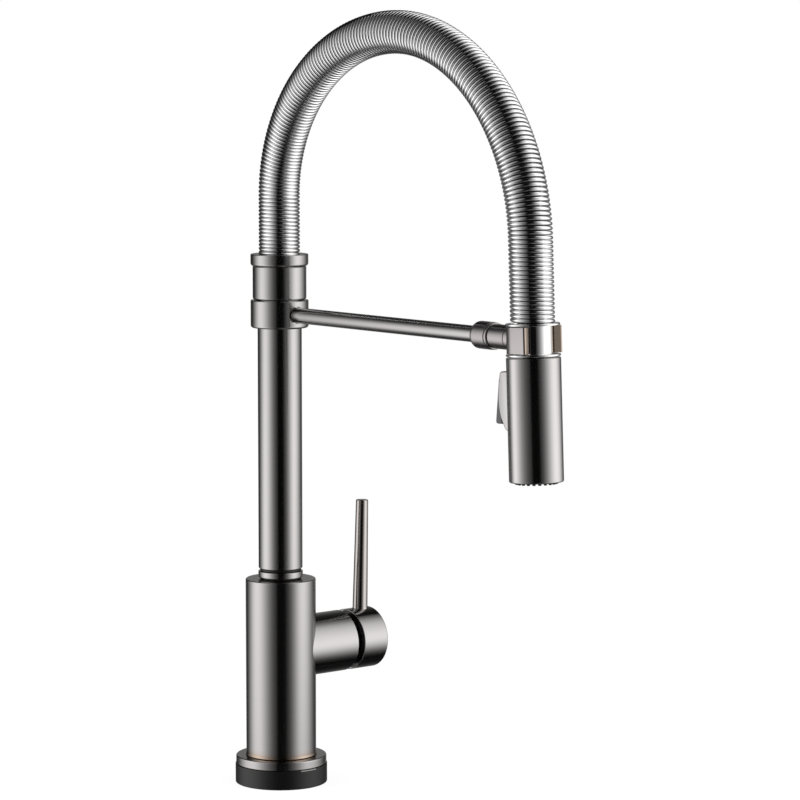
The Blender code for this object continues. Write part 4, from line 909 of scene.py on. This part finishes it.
def makeCradle():
    # A U seen from above: round corners behind, straight arms, tips that lean in to the slot. It is carried
    # along the wand's axis, joined to a round boss and drilled for the magnet.
    seat, tip = cradleSeat()
    wide, slot, lead, edge = (cradleShape[key] for key in ("wide", "slot", "lead", "edge"))
    behind, corner, back, bend = (cradleShape[key] for key in ("behind", "corner", "back", "backRound"))
    outline = rounded([
        (tip, wide, edge), (-behind, wide, corner), (-behind, -wide, corner), (tip, -wide, edge),
        (tip - lead, -slot, edge), (-back, -slot, bend), (-back, slot, bend), (tip - lead, slot, edge),
    ], steps=cradleShape["bendSteps"])
    body = meshOf("dockingCradle", prism(outline, cradleShape["tall"] / 2, cradleShape["rim"], seat))
    boss, _, _, neckEnd = turnedSize("cradle_neck", armSeat)
    start, end = neckEnd + slack, wandSeat[0, 3] - (back + behind) / 2
    post = rounded([(0, start, 0), (boss, start, fineEdge), (boss, end, 0), (0, end, 0)], False)
    body = carved(body, meshOf("boss", turned(post, armSeat, facets["collar"], False)), "UNION")
    magnet, _, low, _ = turnedSize("dock_magnet", armSeat)
    body = carved(body, drill(magnet + slack, low - slack, wandSeat[0, 3], armSeat))

    def paintedTipReflection(finish):
        # A narrow bell of the distance from the leaning planes that end the arms, in a lighter warm tone: a
        # painted warm reflection on the arms' end faces
        wayX, _, wayZ = wandSeat[:, 0]
        ahead = ownAxis(finish, "X") * wayX + ownAxis(finish, "Z") * wayZ - wandSeat[:, 3] @ wandSeat[:, 0]
        inward = wide - abs(ownAxis(finish, "Y"))
        apart = ahead - tip + inward * (lead / (wide - slot))
        return gauss(apart, cradleShape["tipReflectionReach"]), cradleShape["tipReflectionTone"]

    finishes["cradle"] = metalFinish("darkSteelCradle", shadedDockSteel, roundX, 0.0, paintedTipReflection)
    addPiece(body, "cradle", "docking_cradle")


def makeSpool():
    # The spool is turned with a cup in its top, then its neck gets two flats that fit the slot.
    outer, bore, foot, top = turnedSize("dock_spool", wandSeat)
    neck, waist, lip, rim = (spoolShape[key] for key in ("neck", "neckFoot", "neckTop", "rim"))
    cup, floor = spoolShape["cup"], top - spoolShape["cupDeep"]
    spool = meshOf("dockSpool", turned(rounded([
        (bore, foot, 0), (outer, foot, rim), (outer, waist, rim / 2), (neck, waist, fineEdge),
        (neck, lip, fineEdge), (outer, lip, rim / 2), (outer, top, rim), (cup, top, fineEdge),
        (cup, floor, 0), (bore, floor, 0),
    ]), wandSeat))
    seat, flats, half = cradleSeat()[0], spoolShape["flats"], cradleShape["tall"] / 2 + slack
    for side in (-1, 1):
        spool = carved(spool, block("flat", (-outer, side * flats), (outer, side * outer), half, seat))

    def paintedFlatShade(finish):
        # A narrow bell of y about the flats, times a steep one of the height that keeps to the neck: the
        # flats are painted darker, as painted shade where they sit inside the cradle's slot
        height = (ownAxis(finish, "Z") - wandSeat[2, 3] - (waist + lip) / 2) / ((lip - waist) / 2)
        onNeck = gauss(height ** spoolShape["neckSteep"], spoolShape["neckReach"])
        onFlat = gauss(abs(ownAxis(finish, "Y")) - flats, spoolShape["flatShadeReach"])
        return onFlat * onNeck, spoolShape["flatShadeTone"]

    finishes["spool"] = metalFinish("spoolChrome", polish, even, 0.0, paintedFlatShade)
    addPiece(spool, "spool", "dock_spool")


def rodWay():
    # The hole that the diverter rod slides in, from the core out through the shell
    seat = makeSeat(nodePoints("diverter_rod").mean(0), -wandSeat[:, 0], (0, 1, 0))
    rod, _, low, high = turnedSize("diverter_rod", seat)
    return drill(rod + slack, low, high * overrun, seat, facets["pin"])


def makeWand():
    # A turned shell, a rubber pad with a ring of tips at its mouth, and the aerator's turned cup. One tip is
    # turned about its own axis, and the set is that tip moved round a ring.
    outer, bore, foot, top = turnedSize("wand_shell", wandSeat)
    inside, roof = wandShape["bore"], top - wandShape["roof"]
    shell = rounded([
        (bore, top, 0), (outer, top, wandShape["topEdge"]), (outer, foot, wandShape["footEdge"]),
        (inside, foot, fineEdge), (inside, roof, 0), (bore, roof, 0),
    ])
    addPiece(carved(meshOf("wandShell", turned(shell, wandSeat)), rodWay()), "steelWand", "wand_shell")

    outer, bore, low, high = turnedSize("nozzle_pad", wandSeat)
    face = foot + wandShape["mouth"]
    pad = rounded([(bore, face, fineEdge), (outer, face, fineEdge), (outer, high, 0), (bore, high, 0)])
    root, hole, holeTop = face + nozzles["root"], nozzles["hole"], low + nozzles["holeDeep"]
    tip = rounded([
        (0, root, 0), (nozzles["radius"], root, 0), (nozzles["tip"], low, fineEdge),
        (hole, low, nozzles["holeEdge"]), (hole, holeTop, 0), (0, holeTop, 0),
    ], False, nozzles["steps"])
    one = polar(tip[:, :1], circle(nozzles["around"]), tip[:, 1:])
    spots = polar(nozzles["ring"], np.arange(nozzles["count"]) * math.tau / nozzles["count"], 0.0)
    tips = [(toWorld(one + spot, wandSeat), False, True, False) for spot in spots]
    addPiece(meshOf("nozzlePad", turned(pad, wandSeat), *tips), "rubber", "nozzle_pad")

    outer, bore, foot, top = turnedSize("aerator_housing", wandSeat)
    wall, floor = bore + aeratorRing["lip"], foot + aeratorRing["lip"]
    cup = rounded([(bore, foot, aeratorRing["inner"]), (outer, foot, aeratorRing["outer"]), (outer, top, 0),
                   (wall, top, 0), (wall, floor, 0), (bore, floor, 0)])
    housing = meshOf("aeratorHousing", turned(cup, wandSeat, facets["collar"]))
    addPiece(housing, "grey_plastic", "aerator_housing")


makeCradle()
makeSpool()
makeWand()
print("dock and wand made")


# Button on the wand

buttonShape = {
    "top": 0.0196, "tall": 0.0375, "wide": 0.0200, "proud": 0.0062,
    "topCut": 0.06, "crest": 0.45, "rise": 0.69, "fall": 0.57,   # the swell, in shares of the height
    "steps": 40, "trimTop": 4, "trimFoot": 8,   # points of the swell, and those that its rounded ends replace
    "shoulder": 0.0040, "shoulderRound": 0.0024, "footIn": 0.0002, "footRound": 0.0040,
    "edge": 0.0009, "wall": 0.0010, "floor": 0.0010,
}
rockerShape = {
    "inset": 0.0044, "long": 0.0290, "proud": 0.0043, "tiltDeg": 7.7, "gap": 0.0004, "edge": 0.0007,
    "topRound": 0.0012, "footRound": 0.0016, "behindPin": 0.0024, "behindRound": 0.0004,
    "heel": 0.0029, "heelRound": 0.0005, "keelHalf": 0.0012, "keelEnd": 0.0048,
}


def makeButton():
    # Both pieces are a side view, out of the wand and down along it, carried across. The bezel's side swells
    # as one minus a square from its crest, and a pocket for the rocker is cut from its front.
    shell, _, shellFoot, shellTop = turnedSize("wand_shell", wandSeat)
    seat = np.column_stack([-wandSeat[:, 0], -wandSeat[:, 2], -wandSeat[:, 1], wandSeat[:, 3]])
    top, tall, wall = (buttonShape[key] for key in ("top", "tall", "wall"))
    half, foot, inside = buttonShape["wide"] / 2, top + tall, shell / 2
    share = np.linspace(buttonShape["topCut"], 1, buttonShape["steps"])
    span = np.where(share < buttonShape["crest"], buttonShape["rise"], buttonShape["fall"])
    out = shell + buttonShape["proud"] * (1 - ((share - buttonShape["crest"]) / span) ** 2)
    swell = np.stack([out, top + tall * share], -1)[buttonShape["trimTop"]:-buttonShape["trimFoot"]]
    start = rounded([(inside, top, 0), (shell + buttonShape["shoulder"], top, buttonShape["shoulderRound"]),
                     (*swell[0], 0)], False)[1:-1]
    end = rounded([(*swell[-1], 0), (shell - buttonShape["footIn"], foot, buttonShape["footRound"]),
                   (inside, foot, 0)], False)
    side = np.concatenate([[(inside, top)], start, swell[:-1], end[1:]])
    bezel = meshOf("buttonBezel", prism(side, half, buttonShape["edge"], seat))
    bezel = carved(bezel, drill(shell + slack, shellFoot, shellTop, wandSeat, facets["column"]))
    gap, floor = rockerShape["gap"], shell + slack + buttonShape["floor"]
    rockerTop = top + rockerShape["inset"]
    rockerFoot = rockerTop + rockerShape["long"]
    low, high = (floor, rockerTop - 2 * gap), (shell * overrun, rockerFoot + 3 * gap)
    bezel = carved(bezel, block("pocket", low, high, half - wall, seat))
    addPiece(carved(bezel, rodWay()), "steelZ", "button_bezel")

    face = shell + buttonShape["proud"] + rockerShape["proud"]
    lean = rockerShape["long"] * math.tan(math.radians(rockerShape["tiltDeg"]))
    heel, keel, keelHalf = floor + rockerShape["heel"], floor + gap, rockerShape["keelHalf"]
    pivot = joints["spray_rocker_press"]["pos_m"] - wandSeat[:, 3]
    pinDrop, pinOut = -pivot @ wandSeat[:, 2], -pivot @ wandSeat[:, 0]
    side = rounded([
        (pinOut - rockerShape["behindPin"], rockerTop, rockerShape["behindRound"]),
        (face - lean, rockerTop, rockerShape["topRound"]), (face, rockerFoot, rockerShape["footRound"]),
        (heel, rockerFoot, rockerShape["heelRound"]), (heel, pinDrop + rockerShape["keelEnd"], 0),
        (keel, pinDrop + keelHalf, 0), (keel, pinDrop - keelHalf, 0),
    ])
    rocker = meshOf("sprayRocker", prism(side, half - wall - gap, rockerShape["edge"], seat))
    addPiece(rocker, "grey_plastic", "spray_rocker")


makeButton()
print("button made")


# Handle

capShape = {"wall": 0.0054, "cavity": 0.0082, "rim": 0.0005, "end": 0.0010, "socket": 0.0043}
leverShape = {"flare": 0.00022, "flareTall": 0.0016, "flareRings": 9, "tipRound": 0.0007, "tipSpan": 0.002,
              "stud": 0.0025}
coreShape = {"step": 0.0013, "edge": 0.0004}


def makeHandle():
    # The lever tapers from foot to tip, with a flare at its foot that fades as a square. The cap is a turned
    # cup, bored for the lever's foot and for the grub screw.
    leverSeat = leaningSeat("handle_lever")
    points = nodePoints("handle_lever", leverSeat)
    wide, _, low, high = turnedSize("handle_lever", leverSeat)
    stand = wideSpan("handle_lever", leverSeat)[0]
    thin = radiusOf(points[points[:, 2] > high - leverShape["tipSpan"]]).max()
    stud, flare, flareTall = leverShape["stud"], leverShape["flare"], leverShape["flareTall"]
    share = np.linspace(0, 1, leverShape["flareRings"])
    taper = wide - (wide - thin) * share * flareTall / (high - stand)
    skirt = np.stack([taper + flare * (1 - share) ** 2, stand + share * flareTall], -1)
    tip = rounded([(wide, stand, 0), (thin, high, leverShape["tipRound"]), (0, high, 0)], False)[1:]
    profile = np.concatenate([[(0, low), (stud, low), (stud, stand)], skirt, tip])
    lever = meshOf("handleLever", turned(profile, leverSeat, facets["lever"], False))
    addPiece(lever, "steelLever", "handle_lever")

    outer, _, foot, top = turnedSize("handle_cap", handleSeat)
    stemTop = turnedSize("cartridge_stem", handleSeat)[3] + slack
    hollow, socket, roof = outer - capShape["wall"], capShape["socket"], foot + capShape["cavity"]
    cap = meshOf("handleCap", turned(rounded([
        (0, stemTop, 0), (socket, stemTop, 0), (socket, roof, 0), (hollow, roof, 0), (hollow, foot, fineEdge),
        (outer, foot, capShape["rim"]), (outer, top, capShape["end"]), (0, top, 0),
    ], False), handleSeat, facets["cap"], False))
    bored, spot, spotFace = stud + slack, wide + slack, stand - slack
    bit = np.array([(0, low - slack), (bored, low - slack), (bored, spotFace), (spot, spotFace), (spot, high),
                    (0, high)])
    cap = carved(cap, meshOf("bit", turned(bit, leverSeat, facets["lever"], False)))
    grubSeat = leaningSeat("handle_grub_screw")
    grub, _, low, high = turnedSize("handle_grub_screw", grubSeat)
    cap = carved(cap, drill(grub + slack, low * overrun, high, grubSeat))
    addPiece(cap, "steelY", "handle_cap")
    screwPiece("handleGrubScrew", "handle_grub_screw", grubSeat)


def makeCore():
    # A turned nut with a narrower neck above its shoulder
    outer, bore, foot, top = turnedSize("bonnet_nut", handleSeat)
    shoulder = wideSpan("bonnet_nut", handleSeat)[1]
    neck = outer - coreShape["step"]
    profile = rounded([(bore, foot, 0), (outer, foot, 0), (outer, shoulder, 0), (neck, shoulder, 0),
                       (neck, top, coreShape["edge"]), (bore, top, 0)])
    nut = meshOf("bonnetNut", turned(profile, handleSeat, facets["collar"]))
    addPiece(nut, "black_plastic", "bonnet_nut")


makeHandle()
makeCore()
print("handle made")


# Fixing below the deck

shankShape = {"outer": 0.0162, "threadTop": -0.004, "runOut": 0.0005}
thread = {"pitch": 0.0015, "deep": 0.0009, "perTurn": 64, "rowsPerPitch": 8, "crest": 1.5}
nutShape = {"chamferDeg": 30.0, "rim": 0.96, "sharpDeg": 20.0}
fixingRings = {
    # solid, finish, rounding of the foot and of the top
    "sealWasher": ("seal_washer", "rubber", 0.0004, 0.0004),
    "steelWasher": ("steel_washer", "steel", 0.0003, 0.0003),
}
inletTubes = {"coldInletTube": "cold_inlet_tube", "hotInletTube": "hot_inlet_tube"}
inletEdge = 0.0005


def makeShank():
    # The thread's radius falls and rises as a rounded wave of the turn plus the height over the pitch, and
    # the wave fades out at both ends of the thread.
    head, bore, foot, top = turnedSize("mounting_shank")
    headFoot = wideSpan("mounting_shank")[0]
    outer, end, pitch = shankShape["outer"], shankShape["threadTop"], thread["pitch"]
    core = outer - thread["deep"]
    angle = circle(thread["perTurn"])
    height = np.arange(foot, end, pitch / thread["rowsPerPitch"])[:, None]
    wave = 0.5 - 0.5 * np.cos(math.tau * height / pitch - angle)
    fade = np.clip(np.minimum(height - foot, end - height) / pitch, 0, 1)
    cut = outer - thread["deep"] * (1 - fade * (1 - wave ** thread["crest"]))
    rows = [(bore, foot), (core, foot), *zip(cut, height[:, 0]), (core, end),
            (outer, end + shankShape["runOut"]), (outer, headFoot), (head, headFoot), (head, top),
            (bore, top)]
    addPiece(meshOf("mountingShank", (ringRows(rows, angle), True, True, False)), "brass", "mounting_shank")


def makeNut():
    # A hexagon whose corners are cut by a cone, which starts at the rim and runs down at the chamfer's slope
    corner, hole, foot, top = turnedSize("mounting_nut")
    flat = corner * math.cos(math.pi / 6)
    angle = circle(facets["cap"])
    edge, rim = sixSides(flat, angle), flat * nutShape["rim"]
    drop = (edge - rim) * math.tan(math.radians(nutShape["chamferDeg"]))
    rows = [(hole, foot), (rim, foot), (edge, foot + drop), (edge, top - drop), (rim, top), (hole, top)]
    nut = meshOf("mountingNut", (ringRows(rows, angle), True, True, False), sharpDeg=nutShape["sharpDeg"])
    addPiece(nut, "brass", "mounting_nut")


def makeFixing():
    # Two washers, and a tube about the middle of each inlet's box
    for name, spec in fixingRings.items():
        ringPiece(name, *spec)
    for name, node in inletTubes.items():
        low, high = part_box(node)
        seat = makeSeat(((low[0] + high[0]) / 2, (low[1] + high[1]) / 2, 0), (0, 0, 1), (1, 0, 0))
        ringPiece(name, node, "steel", inletEdge, 0.0, seat, facets["tube"])


makeShank()
makeNut()
makeFixing()
print("fixing made")


# Spring and hose

arch = {"straightTop": 0.4062, "crown": (0.1255, 0.5169), "fall": 0.1288, "sunk": 0.0043, "step": 0.0005,
        "quarterSteps": 400}
springShape = {"coils": 170, "wire": 0.0025, "outer": 0.0142, "growth": 0.06, "swell": 0.15,
               "perCoil": 26, "sides": 10, "sharpDeg": 80.0}
hoseShape = {"outer": 0.0073, "bore": 0.0040, "rows": 160}


def archLine():
    # Straight up, a quarter ellipse to the crown, a leaning quarter ellipse down, straight to the spool;
    # with the length run at each point
    base = turnedSize("spring_seat")[3] - arch["sunk"]
    down = -wandSeat[:, 2]
    spool = wandSeat[:, 3] - down * (turnedSize("dock_spool", wandSeat)[3] + slack - spoolShape["cupDeep"])
    crownX, crownZ = arch["crown"]
    endZ = crownZ + arch["fall"] * down[2]
    endX = wandSeat[0, 3] + (wandSeat[2, 3] - endZ) * down[0] / -down[2]
    reach = endX - crownX - arch["fall"] * down[0]
    turn = np.linspace(0, math.pi / 2, arch["quarterSteps"])
    rise = np.stack([crownX * (1 - np.cos(turn)), 0 * turn,
                     arch["straightTop"] + (crownZ - arch["straightTop"]) * np.sin(turn)], -1)
    across = np.outer(np.sin(turn), (reach, 0, 0)) + np.outer(1 - np.cos(turn), down * arch["fall"])
    points = np.concatenate([[(0, 0, base)], rise, (across + (crownX, 0, crownZ))[1:], [spool]])
    length = np.concatenate([[0], np.cumsum(np.linalg.norm(np.diff(points, axis=0), axis=1))])
    return points, length


def alongArch(distance):
    # Places along the arch, and two directions across it; the way ahead is a short central difference.
    points, length = archLine()

    def at(reach):
        return np.stack([np.interp(reach, length, points[:, k]) for k in range(3)], -1)

    ahead = at(distance + arch["step"]) - at(distance - arch["step"])
    ahead /= np.linalg.norm(ahead, axis=-1, keepdims=True)
    side = np.zeros_like(ahead)
    side[:, 1] = 1.0
    return at(distance), side, np.cross(side, ahead)


def ringsAlong(line, first, second, radius, around):
    # A ring about each point of a line: radius times (first cos + second sin)
    turn = circle(around)[:, None]
    return line[:, None] + radius * (first[:, None] * np.cos(turn) + second[:, None] * np.sin(turn))


def springMesh(total):
    # The wire's middle line is a helix about the arch; its rings lie across the helix. The pitch grows evenly
    # along the arch and swells towards the crown as a squared sine.
    wire, coils = springShape["wire"] / 2, springShape["coils"]
    share = np.linspace(0, 1, coils * springShape["perCoil"] + 1)
    travel = share * (1 + springShape["growth"] * (share - 1) / 2)
    travel += springShape["swell"] * (share / 2 - np.sin(share * math.tau) / (2 * math.tau))
    place, side, up = alongArch(wire + (total - 2 * wire) * travel / travel[-1])
    angle = (share * coils * math.tau)[:, None]
    spoke = side * np.cos(angle) + up * np.sin(angle)
    line = place + spoke * (springShape["outer"] - wire)
    ahead = np.gradient(line, axis=0)
    ahead /= np.linalg.norm(ahead, axis=1, keepdims=True)
    rings = ringsAlong(line, spoke, np.cross(ahead, spoke), wire, springShape["sides"])
    return meshOf("spoutSpring", (rings, False, True, True), sharpDeg=springShape["sharpDeg"])


def hoseMesh(total):
    # An outer and an inner wall of rings along the arch, closed into one tube
    place, side, up = alongArch(np.linspace(0, total - spoolShape["cupDeep"], hoseShape["rows"]))
    outside, inside = [ringsAlong(place, side, up, hoseShape[key], facets["pin"])
                       for key in ("outer", "bore")]
    return meshOf("sprayHose", (np.concatenate([outside, inside[::-1]]), True, True, False))


def makeSpout():
    # The spring and the hose stretch between the riser's end and the spool.
    total = archLine()[1][-1]
    pieces = ((springMesh(total), "chrome", "spout_spring"), (hoseMesh(total), "rubber", "spray_hose"))
    for mesh, finish, node in pieces:
        piece = linkObject(mesh.name, mesh)
        mesh.materials.append(finishes[finish])
        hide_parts(node)
        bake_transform(piece)


makeSpout()
print("spring and hose made")


# Inner solids that stay as they are

for name, thing in nodes.items():
    if not thing.hide_render:
        # wand_nipple takes black plastic rather than its brass slot: painted shade, for it sits in the shadow
        # of a narrow gap
        finish = "black_plastic" if name == "wand_nipple" else slotOf[name]
        thing.data.materials.clear()
        thing.data.materials.append(finishes[finish])
print("inner solids finished")
